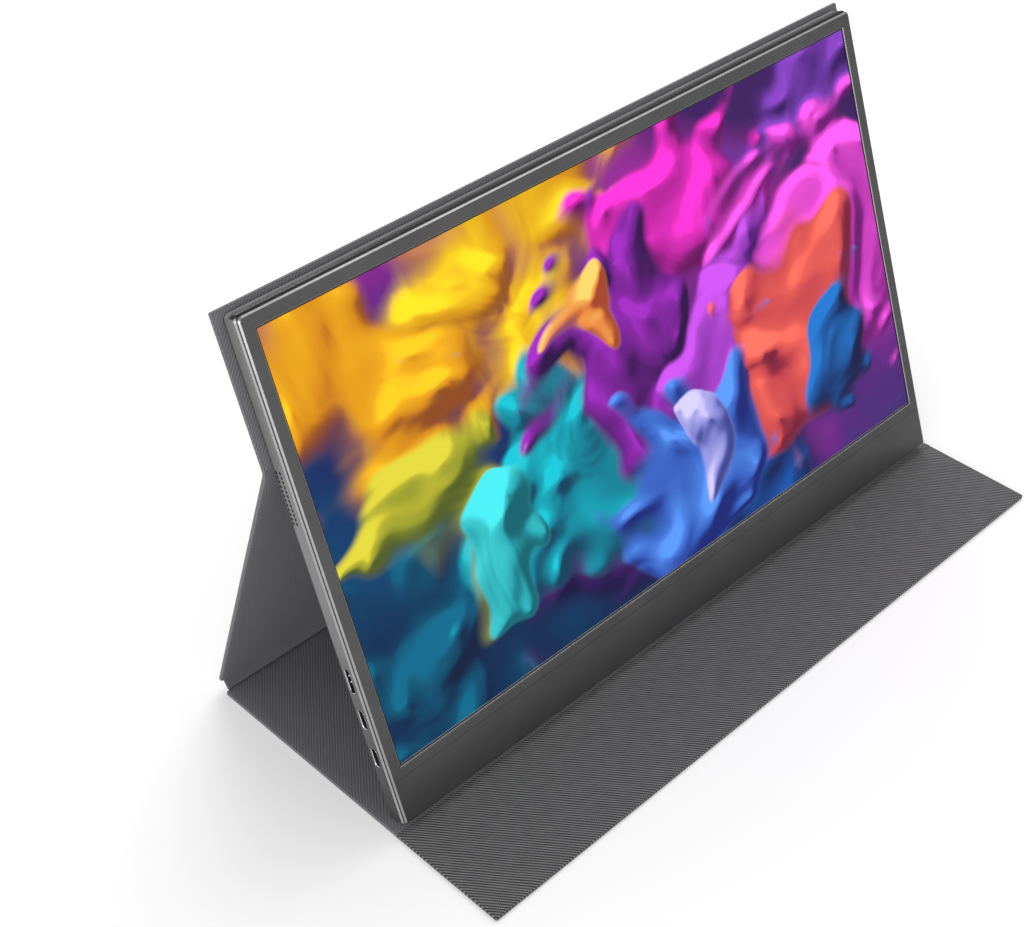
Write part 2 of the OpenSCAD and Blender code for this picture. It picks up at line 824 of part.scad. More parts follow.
// Side-pressed switches behind the power button and the rocker's two ends
module tact_switches() {
    arm = rocker_l / 2 - switch_end_inset;
    color(steel)
        on_monitor()
            for (z = [power_z, rocker_z - arm, rocker_z + arm]) {
                cell([switch_x1 - switch_body[0], switch_x1],
                    [z - switch_body[2] / 2, z + switch_body[2] / 2],
                    [board_top_d, board_top_d + switch_body[1]]);
                side_rod(switch_x1 - eps, switch_x1 + plunger_l, z, port_depth, plunger_r);
            }
}

module headphone_jack() {
    x1 = inner_half_w - fit_gap;
    mouth_x = half_w - mouth_inset / 2;
    color(black)
        on_monitor()
            difference() {
                union() {
                    cell([x1 - jack_body[0], x1],
                        [jack_z - jack_body[2] / 2, jack_z + jack_body[2] / 2],
                        [port_depth - jack_body[1] / 2, port_depth + jack_body[1] / 2]);
                    side_rod(x1 - eps, mouth_x, jack_z, port_depth, jack_nose_r);
                }
                side_rod(mouth_x - jack_bore_len, mouth_x + 1, jack_z, port_depth, jack_bore_r);
            }
}

// ---- keys ----------------------------------------------------------------

key_d = [port_depth - key_w / 2, port_depth + key_w / 2];
ear_rear_d = [shell_back_t, key_d[0] - bracket_gap];
ear_front_d = [key_d[1] + bracket_gap, key_d[1] + bracket_gap + bracket_ear_t];

// Bracket on the shell's back whose two ears hold the rocker's pin
module key_bracket() {
    z = [rocker_z - bracket_half, rocker_z + bracket_half];
    bridge_x = [tray_half_w + 2 * fit_gap, tray_half_w + 2 * fit_gap + bracket_bridge_t];
    color([0.75, 0.75, 0.72])
        on_monitor()
            difference() {
                union() {
                    cell(bridge_x, z, [shell_back_t, ear_front_d[1]]);
                    cell([bridge_x[1] - eps, inner_half_w - fit_gap], z, ear_rear_d);
                    cell([bridge_x[1] - eps, inner_half_w - fit_gap], z, ear_front_d);
                }
                depth_rod(rocker_pivot_x, rocker_z, shell_back_t + fit_gap, monitor_t,
                    rocker_pin_r + pin_seat);
            }
}

module rocker_pin() {
    color(steel)
        on_monitor()
            depth_rod(rocker_pivot_x, rocker_z, shell_back_t + 2 * fit_gap, ear_front_d[1],
                rocker_pin_r);
}

module power_button() {
    flange_x1 = inner_half_w - key_flange_gap;
    flange_x0 = flange_x1 - key_flange_t;
    color(metal)
        on_monitor() {
            side_slot(flange_x1 - eps, key_face_x, power_z, port_depth, power_l, key_w);
            side_slot(flange_x0, flange_x1, power_z, port_depth,
                power_l + 2 * key_flange_over, key_w + 2 * key_flange_over);
            cell([switch_x1 + plunger_l + key_air, flange_x0 + eps],
                [power_z - power_stem[0] / 2, power_z + power_stem[0] / 2],
                [port_depth - power_stem[1] / 2, port_depth + power_stem[1] / 2]);
        }
}

module menu_rocker() {
    color(metal)
        on_monitor()
            difference() {
                union() {
                    cell(rocker_arm_x, [rocker_z - rocker_arm_half, rocker_z + rocker_arm_half], key_d);
                    side_slot(rocker_arm_x[1] - eps, key_face_x, rocker_z, port_depth, rocker_l, key_w);
                }
                depth_rod(rocker_pivot_x, rocker_z, 0, monitor_t, rocker_pin_r + pin_clear);
            }
}

// ---- speakers ------------------------------------------------------------

// Box of one speaker; side is -1 on the left and 1 on the right
module speaker_box(side) {
    x1 = inner_half_w - mesh_t - fit_gap;
    z = [speaker_z - speaker_l / 2, speaker_z + speaker_l / 2];
    d = [speaker_d, speaker_d + speaker_h];
    color(black)
        on_monitor()
            mirror([side > 0 ? 0 : 1, 0, 0])
                difference() {
                    cell([x1 - speaker_w, x1], z, d);
                    cell([x1 - speaker_mouth, x1 + 1], [z[0] + speaker_wall_t, z[1] - speaker_wall_t],
                        [d[0] + speaker_lid_t, d[1] - speaker_lid_t]);
                }
}

module speaker_left() {
    speaker_box(-1);
}

module speaker_right() {
    speaker_box(1);
}

module speaker_cones() {
    x = inner_half_w - mesh_t - fit_gap - speaker_mouth;
    color([0.25, 0.25, 0.27])
        on_monitor()
            for (side = [0, 1])
                mirror([side, 0, 0])
                    side_slot(x, x + cone_t, speaker_z, speaker_d + speaker_h / 2,
                        speaker_l - 2 * (speaker_wall_t + cone_gap),
                        speaker_h - 2 * (speaker_lid_t + cone_gap));
}

module speaker_meshes() {
    color(black)
        on_monitor()
            for (side = [0, 1])
                mirror([side, 0, 0])
                    cell([inner_half_w - mesh_t, inner_half_w],
                        [speaker_z - speaker_l / 2, speaker_z + speaker_l / 2],
                        [speaker_d, speaker_d + speaker_h]);
}

// Two-wire leads from the speakers down to the boards
module speaker_leads() {
    left_x = main_board_x0 + lead_x[0];
    right_x = side_board_x[0] + lead_x[1];
    end_z = speaker_z - speaker_l / 2;
    d = [board_top_d, board_top_d + lead_t];
    color([0.60, 0.10, 0.08])
        on_monitor() {
            cell([left_x, left_x + lead_w], [main_board_z[1] - lead_land, end_z], d);
            cell([right_x, right_x + lead_w], [side_board_z[1] - lead_land, end_z], d);
        }
}

module board_screws() {
    color(steel)
        on_monitor()
            for (p = screw_points) {
                depth_rod(p[0], p[1], shell_back_t + 2 * fit_gap, board_top_d + eps, screw_r);
                depth_rod(p[0], p[1], board_top_d, board_top_d + screw_head_h, screw_head_r);
            }
}

// ---- magnets -------------------------------------------------------------

magnet_l = 40;
magnet_w = 6;
magnet_x = [-120, 0, 120];
magnet_edge = 3;
bond_edge = 6;
foot_magnet_w = 3;
foot_magnet_t = 2.4;

module foot_magnets() {
    z0 = shell_wall_t + fit_gap;
    color(steel)
        on_monitor()
            for (x = magnet_x)
                cell([x - magnet_l / 2, x + magnet_l / 2], [z0, z0 + foot_magnet_w],
                    [shell_back_t, shell_back_t + foot_magnet_t]);
}

// ---- cover panels --------------------------------------------------------

// Plain rectangle inside a panel, drawn in from its sides, its start and its end
module inset2d(span, side, start, end) {
    span_rect(-cover_w / 2 + side, cover_w / 2 - side, span[0] + start, span[1] - end);
}

// Outer fabric: a shallow tray whose rim is the turned edge
module panel_fabric(span) {
    turn = fabric_turn;
    color(cloth)
        difference() {
            layer(0, cover_t)
                translate([0, span[0]])
                    plan(cover_w, span[1] - span[0], cover_corner_r, cover_corner_r);
            layer(fabric_t, cover_t + 1)
                inset2d(span, turn, turn, turn);
        }
}

// Outline of the stiff board inside a panel, which stops short of the folds
module board2d(span, fold_start, fold_end) {
    edge = fabric_turn + fit_gap;
    inset2d(span, edge, fold_start ? fold_margin : edge, fold_end ? fold_margin : edge);
}

// Stiff board inside a panel
module panel_card(span, fold_start, fold_end) {
    color(card)
        layer(fabric_t, fabric_t + inner_t)
            board2d(span, fold_start, fold_end);
}

// Lining laid flush inside the turned rim
module panel_lining(span) {
    edge = fabric_turn + fit_gap / 2;
    color(cloth)
        layer(cover_t - fabric_t, cover_t)
            inset2d(span, edge, edge, edge);
}

upper_z = [fold_setback, upper_len];
leg_z = [leg_setback, leg_len - fold_setback];
strip_z = [strip_setback[0], strip_len - strip_setback[1]];
base_z = [fold_setback, base_len - base_setback];
flap_z = [0, flap_len - fold_setback];

module on_upper() {
    place(upper_fold, monitor_angle)
        children();
}

module on_leg() {
    place(leg_fold, leg_angle)
        children();
}

module on_strip() {
    place(rear_fold, strip_angle)
        children();
}

module on_base() {
    place([crease_y, 0], 0)
        children();
}

module on_flap() {
    place([front_y, 0], 0)
        children();
}

module bond_sheet() {
    color([0.9, 0.9, 0.85])
        on_upper()
            layer(cover_t, cover_t + bond_t - eps)
                span_rect(-half_w + bond_edge, half_w - bond_edge, upper_z[0] + bond_edge,
                    upper_z[1] - cover_over - bond_edge);
}

module upper_fabric() {
    on_upper()
        panel_fabric(upper_z);
}

module upper_board() {
    on_upper()
        panel_card(upper_z, true, false);
}

module upper_lining() {
    on_upper()
        panel_lining(upper_z);
}

module leg_fabric() {
    on_leg()
        panel_fabric(leg_z);
}

module leg_board() {
    on_leg()
        panel_card(leg_z, true, true);
}

module leg_lining() {
    on_leg()
        panel_lining(leg_z);
}

// The strip is soft: outer fabric and lining with a thin filler bonded between them
module strip_fabric() {
    color(cloth)
        on_strip()
            layer(0, strip_t - fabric_t)
                inset2d(strip_z, strip_inset, 0, 0);
}

module strip_lining() {
    color(cloth)
        on_strip()
            layer(strip_t - fabric_t, strip_t)
                inset2d(strip_z, strip_inset, 0, 0);
}

module base_fabric() {
    on_base()
        panel_fabric(base_z);
}

// Outlines of the magnets set into a panel's board, z along the panel
module magnet_row(z, gap) {
    for (x = magnet_x)
        translate([x, z])
            square([magnet_l + 2 * gap, magnet_w + 2 * gap], center = true);
}

base_magnet_z = base_z[0] + fold_margin + magnet_edge + magnet_w / 2;
flap_magnet_z = flap_z[0] + fabric_turn + magnet_edge + magnet_w / 2;

module base_board() {
    color(card)
        on_base()
            layer(fabric_t, fabric_t + inner_t)
                difference() {
                    board2d(base_z, true, true);
                    magnet_row(base_magnet_z, fit_gap);
                }
}

module base_magnets() {
    color(steel)
        on_base()
            layer(fabric_t, fabric_t + inner_t)
                magnet_row(base_magnet_z, 0);
}

module base_lining() {
    on_base()
        panel_lining(base_z);
}

module flap_fabric() {
    on_flap()
        panel_fabric(flap_z);
}

module flap_board() {
    color(card)
        on_flap()
            layer(fabric_t, fabric_t + inner_t)
                difference() {
                    board2d(flap_z, false, true);
                    magnet_row(flap_magnet_z, fit_gap);
                }
}

module flap_magnets() {
    color(steel)
        on_flap()
            layer(fabric_t, fabric_t + inner_t)
                magnet_row(flap_magnet_z, 0);
}

module flap_lining() {
    on_flap()
        panel_lining(flap_z);
}

// ---- drawing -------------------------------------------------------------
rear_shell();
front_frame();
chin_strip();
screen_gasket();
lcd_cell();
film_stack();
light_guide();
reflector_sheet();
panel_tray();
led_bar();
panel_board();
panel_flexes();
display_cable();
main_board();
board_chips();
shield_can();
mini_hdmi_socket();
usb_c_socket_upper();
usb_c_socket_lower();
side_board();
side_ribbon();
tact_switches();
headphone_jack();
key_bracket();
rocker_pin();
power_button();
menu_rocker();
speaker_left();
speaker_right();
speaker_cones();
speaker_meshes();
speaker_leads();
board_screws();
foot_magnets();
bond_sheet();
upper_fabric();
upper_board();
upper_lining();
leg_fabric();
leg_board();
leg_lining();
strip_fabric();
strip_lining();
base_fabric();
base_board();
base_lining();
base_magnets();
flap_fabric();
flap_board();
flap_lining();
flap_magnets();
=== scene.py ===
"""Looks of the portable monitor on its folding cover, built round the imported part.

Metres, in the part's own frame: +Z is up, the screen faces -Y and the desk is Z = 0.
Local frames in the side view have x across, v along the piece and h from its outer or rear
face inwards or forwards.
"""

import json
import math

import bpy
from mathutils import Matrix, Vector, noise

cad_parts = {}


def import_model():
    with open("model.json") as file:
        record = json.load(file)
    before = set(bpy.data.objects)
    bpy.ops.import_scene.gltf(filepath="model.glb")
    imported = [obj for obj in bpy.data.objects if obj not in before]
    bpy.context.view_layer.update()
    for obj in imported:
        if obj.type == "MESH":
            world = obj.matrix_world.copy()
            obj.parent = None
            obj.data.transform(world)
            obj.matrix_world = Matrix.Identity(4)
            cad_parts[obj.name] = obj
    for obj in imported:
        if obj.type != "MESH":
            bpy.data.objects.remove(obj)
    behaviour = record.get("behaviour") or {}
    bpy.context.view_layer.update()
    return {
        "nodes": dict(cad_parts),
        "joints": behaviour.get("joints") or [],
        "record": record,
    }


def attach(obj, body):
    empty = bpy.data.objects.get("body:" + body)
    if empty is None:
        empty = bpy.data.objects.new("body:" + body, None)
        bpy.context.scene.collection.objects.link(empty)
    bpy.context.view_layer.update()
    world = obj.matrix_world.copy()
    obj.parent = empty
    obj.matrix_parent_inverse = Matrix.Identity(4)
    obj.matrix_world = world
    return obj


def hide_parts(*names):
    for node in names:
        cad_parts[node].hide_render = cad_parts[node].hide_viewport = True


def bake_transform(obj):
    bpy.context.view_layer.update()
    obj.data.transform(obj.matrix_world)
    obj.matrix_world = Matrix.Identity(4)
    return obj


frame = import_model()
NODES = frame["nodes"]
JOINTS = {j["name"]: j for j in frame["joints"]}
MM = 0.001


# ---- local frames ----------------------------------------------------------

def side_frame(origin, angle):
    """A frame in the side view whose v axis leans up by angle from +Y."""
    c, s = math.cos(angle), math.sin(angle)
    columns = [(1, 0, 0), (0, c, s), (0, -s, c), (0, origin[1], origin[2])]
    return Matrix([[columns[j][i] for j in range(4)] for i in range(3)] + [[0, 0, 0, 1]])


def span(node, place):
    """Lowest and highest corner of a CAD node in a local frame."""
    inverse = place.inverted()
    points = [inverse @ v.co for v in NODES[node].data.vertices]
    lows = [min(p[i] for p in points) for i in range(3)]
    highs = [max(p[i] for p in points) for i in range(3)]
    return lows, highs


def direction(a, b):
    """Angle above +Y of the line between two points of the side view."""
    return math.atan2(b[2] - a[2], b[1] - a[1])


CREASE = JOINTS["flap_fold"]["pos_m"]
REAR_FOLD = JOINTS["base_fold"]["pos_m"]
LEG_FOLD = JOINTS["leg_fold"]["pos_m"]
UPPER_FOLD = JOINTS["upper_fold"]["pos_m"]
ROCK_AXIS = JOINTS["menu_rock"]["axis"]
MONITOR_ANGLE = math.atan2(-ROCK_AXIS[1], ROCK_AXIS[2])

ON_BASE = side_frame((0, CREASE[1], 0), 0)
ON_STRIP = side_frame(REAR_FOLD, direction(REAR_FOLD, LEG_FOLD))
ON_LEG = side_frame(LEG_FOLD, direction(LEG_FOLD, UPPER_FOLD))
ON_UPPER = side_frame(UPPER_FOLD, MONITOR_ANGLE)
LEANING = side_frame((0, 0, 0), MONITOR_ANGLE)
SHELL_LO, SHELL_HI = span("rear_shell", LEANING)
ON_MONITOR = LEANING @ Matrix.Translation((0, SHELL_LO[1], SHELL_LO[2]))

# The cover's cloth: its thickness and the width turned round a panel's edge
FABRIC_T = 0.5 * MM
TURN = 0.7 * MM
# The ribs: pitch, slant in degrees, and the line across the desk panels that mirrors them,
# before which their valleys carry painted rib shade
RIB_PITCH = 1.266 * MM
RIB_ANGLE = 51.5
MIRROR_BEHIND_FOOT = 1.8 * MM
CHIN_LO, CHIN_HI = span("chin_strip", ON_MONITOR)
FRONT_FOOT = ON_MONITOR @ Vector((0, CHIN_LO[1], CHIN_HI[2]))
RIB_MIRROR = FRONT_FOOT.y + MIRROR_BEHIND_FOOT - CREASE[1]
# Zero line of the other panels, which lies short of them, so that their ribs aren't mirrored
# and show only the shaded copy, without painted rib shade
UNMIRRORED = -20 * MM


# ---- meshes ----------------------------------------------------------------

class Form:
    """A mesh under construction in a local frame, with one UV pair for each vertex."""

    def __init__(self, to_uv=None):
        self.points, self.uvs, self.faces = [], [], []
        self.to_uv = to_uv or (lambda p: (p[0], p[1]))

    def add(self, points):
        """Adds vertices and returns their indices."""
        start = len(self.points)
        self.points += [tuple(p) for p in points]
        self.uvs += [self.to_uv(p) for p in points]
        return list(range(start, len(self.points)))

    def bridge(self, a, b):
        """Quads between two closed loops of equal length."""
        for i in range(len(a)):
            j = (i + 1) % len(a)
            self.faces.append((a[i], a[j], b[j], b[i]))

    def bridge_all(self, rings):
        """Quads between each loop and the next."""
        for a, b in zip(rings, rings[1:]):
            self.bridge(a, b)

    def piece(self, name, place, material, smooth_deg=50):
        """The finished object, with the local frame's place worked into its mesh."""
        mesh = bpy.data.meshes.new(name)
        mesh.from_pydata(self.points, [], self.faces)
        layer = mesh.uv_layers.new(name="UVMap")
        for loop in mesh.loops:
            layer.data[loop.index].uv = self.uvs[loop.vertex_index]
        mesh.transform(place)
        mesh.materials.append(material)
        mesh.shade_smooth()
        mesh.set_sharp_from_angle(angle=math.radians(smooth_deg))
        mesh.validate()
        made = bpy.data.objects.new(name, mesh)
        bpy.context.scene.collection.objects.link(made)
        return made


# Share of its radius that a corner keeps under a deep inset
SMALLEST_CORNER = 0.25


def ring(box, inset, radius, counts, arc=4):
    """A rounded rectangle: box is (x0, x1, v0, v1), counts the segments along x and v."""
    x0, x1, v0, v1 = box[0] + inset, box[1] - inset, box[2] + inset, box[3] - inset
    r = max(radius - inset, SMALLEST_CORNER * radius)
    sides = [
        ((x0 + r, v0), (x1 - r, v0)), ((x1, v0 + r), (x1, v1 - r)),
        ((x1 - r, v1), (x0 + r, v1)), ((x0, v1 - r), (x0, v0 + r)),
    ]
    centres = [(x1 - r, v0 + r), (x1 - r, v1 - r), (x0 + r, v1 - r), (x0 + r, v0 + r)]
    points = []
    for k, (a, b) in enumerate(sides):
        n = counts[k % 2]
        points += [
            (a[0] + (b[0] - a[0]) * i / n, a[1] + (b[1] - a[1]) * i / n) for i in range(n + 1)]
        for j in range(1, arc):
            turn = math.radians(90 * (k - 1 + j / arc))
            points.append((centres[k][0] + r * math.cos(turn), centres[k][1] + r * math.sin(turn)))
    return points


def cap(form, outline, box, inset, height, counts, arc, flip, wave=None):
    """Closes a ring with a grid of quads, and a fan at each rounded corner.

    flip turns its faces downwards, and wave adds to the height from x and v.
    """
    nx, nv = counts
    x0, x1, v0, v1 = box[0] + inset, box[1] - inset, box[2] + inset, box[3] - inset
    grid = []
    for j in range(nv + 1):
        row = [(x0 + (x1 - x0) * i / nx, v0 + (v1 - v0) * j / nv) for i in range(nx + 1)]
        grid.append(form.add([(x, v, height + (wave(x, v) if wave else 0)) for x, v in row]))
    border = [
        [grid[0][i] for i in range(nx + 1)],
        [grid[j][nx] for j in range(nv + 1)],
        [grid[nv][nx - i] for i in range(nx + 1)],
        [grid[nv - j][0] for j in range(nv + 1)],
    ]
    inner = []
    for side in border:
        inner += side + [side[-1]] * (arc - 1)
    faces = [(grid[j][i], grid[j][i + 1], grid[j + 1][i + 1], grid[j + 1][i])
             for j in range(nv) for i in range(nx)]
    count = len(outline)
    for i in range(count):
        j = (i + 1) % count
        quad = [outline[i], outline[j], inner[j], inner[i]]
        faces.append(tuple(quad[:3]) if inner[i] == inner[j] else tuple(quad))
    form.faces += [tuple(reversed(f)) for f in faces] if flip else faces


def slab(form, box, radius, profile, counts=(1, 1), arc=4, wave=None):
    """A closed plate: profile is its edge, as (inset, height) from the lower cap to the upper."""
    rings = [
        form.add([(x, v, height) for x, v in ring(box, inset, radius, counts, arc)])
        for inset, height in profile
    ]
    form.bridge_all(rings)
    cap(form, rings[0], box, profile[0][0] + radius, profile[0][1], counts, arc, True)
    cap(form, rings[-1], box, profile[-1][0] + radius, profile[-1][1], counts, arc, False, wave)


def rib_units(zero=UNMIRRORED):
    """UV mapping in units of the rib pitch: u across the part, v along the panel from zero."""
    return lambda p: (p[0] / RIB_PITCH, (p[1] - zero) / RIB_PITCH)


# ---- material nodes --------------------------------------------------------

class Look:
    """A material and its node tree, with one short call for each node."""

    def __init__(self, name, tree=None, **values):
        if tree is None:
            self.material = bpy.data.materials.new(name)
            self.material.use_nodes = True
            self.tree = self.material.node_tree
            self.tree.nodes.clear()
            output = self.tree.nodes.new("ShaderNodeOutputMaterial")
            self.shader = self.tree.nodes.new("ShaderNodeBsdfPrincipled")
            self.tree.links.new(self.shader.outputs[0], output.inputs["Surface"])
            for socket, value in values.items():
                self.shader.inputs[socket.replace("_", " ")].default_value = value
        else:
            self.tree = tree

    def node(self, kind, settings=None, **inputs):
        """A shader node, with its settings and its inputs by name."""
        made = self.tree.nodes.new("ShaderNode" + kind)
        for key, value in (settings or {}).items():
            setattr(made, key, value)
        for key, value in inputs.items():
            self.feed(made.inputs[key.replace("_", " ")], value)
        return made

    def call(self, tree, values):
        """A node group, fed by name; returns its outputs."""
        made = self.tree.nodes.new("ShaderNodeGroup")
        made.node_tree = tree
        for key, value in values.items():
            self.feed(made.inputs[key], value)
        return list(made.outputs)

    def feed(self, socket, value):
        """Links an output to a socket, or sets the socket's value."""
        if isinstance(value, bpy.types.NodeSocket):
            self.tree.links.new(value, socket)
        elif value is not None:
            socket.default_value = value

    def math(self, operation, *values):
        made = self.tree.nodes.new("ShaderNodeMath")
        made.operation = operation
        for socket, value in zip(made.inputs, values):
            self.feed(socket, value)
        return made.outputs[0]

    def vector(self, operation, *values):
        made = self.tree.nodes.new("ShaderNodeVectorMath")
        made.operation = operation
        for socket, value in zip(made.inputs, values):
            self.feed(socket, value)
        scalar = operation in ("LENGTH", "DISTANCE", "DOT_PRODUCT")
        return made.outputs["Value" if scalar else "Vector"]

    def scale(self, vector, factor):
        made = self.vector("SCALE", vector)
        made.node.inputs["Scale"].default_value = factor
        return made

    def all_of(self, first, *others):
        """The product of several masks."""
        for mask in others:
            first = self.math("MULTIPLY", first, mask)
        return first

    def wave(self, operation, turns):
        """A sine or cosine of whole turns, from 0 to 1."""
        swing = self.math(operation, self.math("MULTIPLY", turns, 2 * math.pi))
        return self.math("MULTIPLY_ADD", swing, 0.5, 0.5)

    def within(self, value, low, high):
        """1 where the value lies between low and high, 0 elsewhere."""
        past = self.math("GREATER_THAN", value, low)
        return self.all_of(past, self.math("LESS_THAN", value, high))

    def ramp(self, factor, low, high, start=0.0, end=1.0):
        """A smooth step of factor from low to high, onto start to end."""
        made = self.node("MapRange", {"interpolation_type": "SMOOTHSTEP"})
        for socket, value in zip(made.inputs, (factor, low, high, start, end)):
            self.feed(socket, value)
        return made.outputs[0]

    def mix(self, factor, a, b):
        """The colour a, or b where the factor is 1."""
        made = self.tree.nodes.new("ShaderNodeMix")
        made.data_type = "RGBA"
        self.feed(made.inputs["Factor"], factor)
        for key, value in (("A", a), ("B", b)):
            socket = next(s for s in made.inputs if s.name == key and s.type == "RGBA")
            self.feed(socket, value)
        return next(s for s in made.outputs if s.type == "RGBA")

    def noise(self, where, scale, detail=2.0, rough=0.5, distortion=0.0):
        made = self.node("TexNoise", Vector=where, Scale=scale, Detail=detail,
                         Roughness=rough, Distortion=distortion)
        return made.outputs["Fac"]

    def coords(self, output="Object"):
        return self.tree.nodes.new("ShaderNodeTexCoord").outputs[output]

    def local(self, output, place):
        """Object coordinates or normals in a local frame: the vector, and its x, v and h."""
        turn = place.to_3x3().transposed()
        rows = [Vector(turn[i]) for i in range(3)]
        source = self.coords(output)
        if output == "Object":
            source = self.vector("SUBTRACT", source, tuple(place.translation))
        parts = [self.vector("DOT_PRODUCT", source, tuple(row)) for row in rows]
        made = self.node("CombineXYZ", X=parts[0], Y=parts[1], Z=parts[2])
        return made.outputs[0], parts

    def bump(self, height, distance, strength=1.0):
        return self.node("Bump", Height=height, Distance=distance, Strength=strength).outputs[0]

    def use(self, **sockets):
        """Feeds the shader's sockets and returns the material."""
        for key, value in sockets.items():
            self.feed(self.shader.inputs[key.replace("_", " ")], value)
        return self.material


def rgb(r, g, b):
    """An sRGB colour, 0 to 255, as the linear values that sockets hold."""
    def linear(c):
        c /= 255
        return c / 12.92 if c <= 0.04045 else ((c + 0.055) / 1.055) ** 2.4
    return (linear(r), linear(g), linear(b), 1.0)


def grey(level, blue=0.0):
    """A linear grey, a little bluer by blue."""
    return (level, level, level + blue, 1)


def scaled(colour, factor):
    """A colour made darker or brighter."""
    return tuple(c * factor for c in colour[:3]) + (1.0,)


# Plain finishes: how much the gloss varies, how much finer the grain is than the mottling, and
# how strongly it shows
GLOSS_SPREAD = 0.06
GRAIN_FINER = 8
GRAIN_STRENGTH = 0.5


def simple(name, colour, other, rough, metallic=0.0, scale=400.0, bump_mm=0.02):
    """A plain finish with mottled colour, uneven gloss and a fine grain; scale is per metre."""
    look = Look(name, Metallic=metallic)
    where = look.coords()
    mottled = look.noise(where, scale, 3.0)
    grain = look.noise(where, scale * GRAIN_FINER, 2.0)
    return look.use(
        Base_Color=look.mix(look.ramp(mottled, 0.35, 0.65), colour, other),
        Roughness=look.ramp(mottled, 0.3, 0.7, rough - GLOSS_SPREAD, rough + GLOSS_SPREAD),
        Normal=look.bump(grain, bump_mm * MM, GRAIN_STRENGTH),
    )


# Tones of the housing, by place (x, v, h) and normal in the monitor's frame
# Black of the window walls, and the painted shade in the side holes, at the rear corner and down
# the side walls
BLACK_PAINT_AND_SHADE = (0.004, 0.004, 0.004, 1)
# Painted shade at the front of the top wall
TOP_WALL_PAINTED_DARK = (0.012, 0.012, 0.012, 1)
CHAMFER_TURN = (0.3, 0.93)
WALL_TURN = 0.5
# Turn of the normal onto the top wall, which takes a painted highlight and painted shade
TOP_TURN = (0.35, 0.65)
# Turn of the normal at which chamfers facing up take painted shade
TOP_CHAMFER_SHADE_TURN = (0.3, 0.6)
# Depth from the rear over which the top wall's painted highlight fades into painted shade
TOP_WALL_PAINTED_FADE = (1.2 * MM, 6.0 * MM)
# Painted shade in the walls of the side holes: its start and depth below the wall, and the holes'
# place along v and h
HOLE_START = (0.08 * MM, 0.2 * MM)
HOLE_DEPTH = 2 * MM
HOLE_V = (5 * MM, 175 * MM)
HOLE_H = (0.9 * MM, 6.5 * MM)
# Painted shade at the rear corner against the cover
CORNER_PAINTED_SHADE = (0.5 * MM, 1.6 * MM, 0.85, 0.0)
# Painted shade down the side walls towards their foot, and the normal turn of the side walls that
# take it
FOOT_PAINTED_SHADE = (-10 * MM, 130 * MM, 0.72, 0.0)
SIDE_TURN = (0.8, 0.95)
# Noise scales of the housing, per metre
BLAST_SCALE = 5200.0
CLOUD_SCALE = 60.0
WEAR_SCALE = 900.0
BLAST_DEPTH = 0.012 * MM


def window_wall(look, place, front, window):
    """Mask of the walls of the frame's window: window is (half width, lowest v, highest v)."""
    inside = look.math("LESS_THAN", look.math("ABSOLUTE", place[0]), window[0])
    steep = look.math("LESS_THAN", front, WALL_TURN)
    return look.all_of(inside, look.within(place[1], window[1], window[2]), steep)


def paint_shade_and_highlight(look, place, normal, finish, bright):
    """Painted shade: darkens the walls of the side holes, the corner against the cover and
    the side walls' foot.

    A painted highlight and painted shade make the top wall run from bright at the rear to dark.
    """
    # Painted highlight at the rear of the top wall, fading into painted shade towards the front
    rolled = look.mix(look.ramp(place[2], *TOP_WALL_PAINTED_FADE), bright, TOP_WALL_PAINTED_DARK)
    finish = look.mix(look.ramp(normal[1], *TOP_TURN), finish, rolled)
    # Painted shade in the walls of the side holes, near the surface
    depth = look.math("SUBTRACT", SHELL_HI[0], look.math("ABSOLUTE", place[0]))
    shallow = look.math("LESS_THAN", depth, HOLE_DEPTH)
    zone = look.all_of(look.within(place[1], *HOLE_V), look.within(place[2], *HOLE_H))
    hole = look.all_of(look.ramp(depth, *HOLE_START), shallow, zone)
    # Painted shade down the side walls towards their foot
    side = look.ramp(look.math("ABSOLUTE", normal[0]), *SIDE_TURN)
    foot = look.math("MULTIPLY", look.ramp(place[1], *FOOT_PAINTED_SHADE), side)
    # Painted shade at the rear corner against the cover, joined with the other painted shade
    dark = look.math("MAXIMUM", look.math("MAXIMUM", hole, look.ramp(place[2], *CORNER_PAINTED_SHADE)), foot)
    return look.mix(dark, finish, BLACK_PAINT_AND_SHADE)


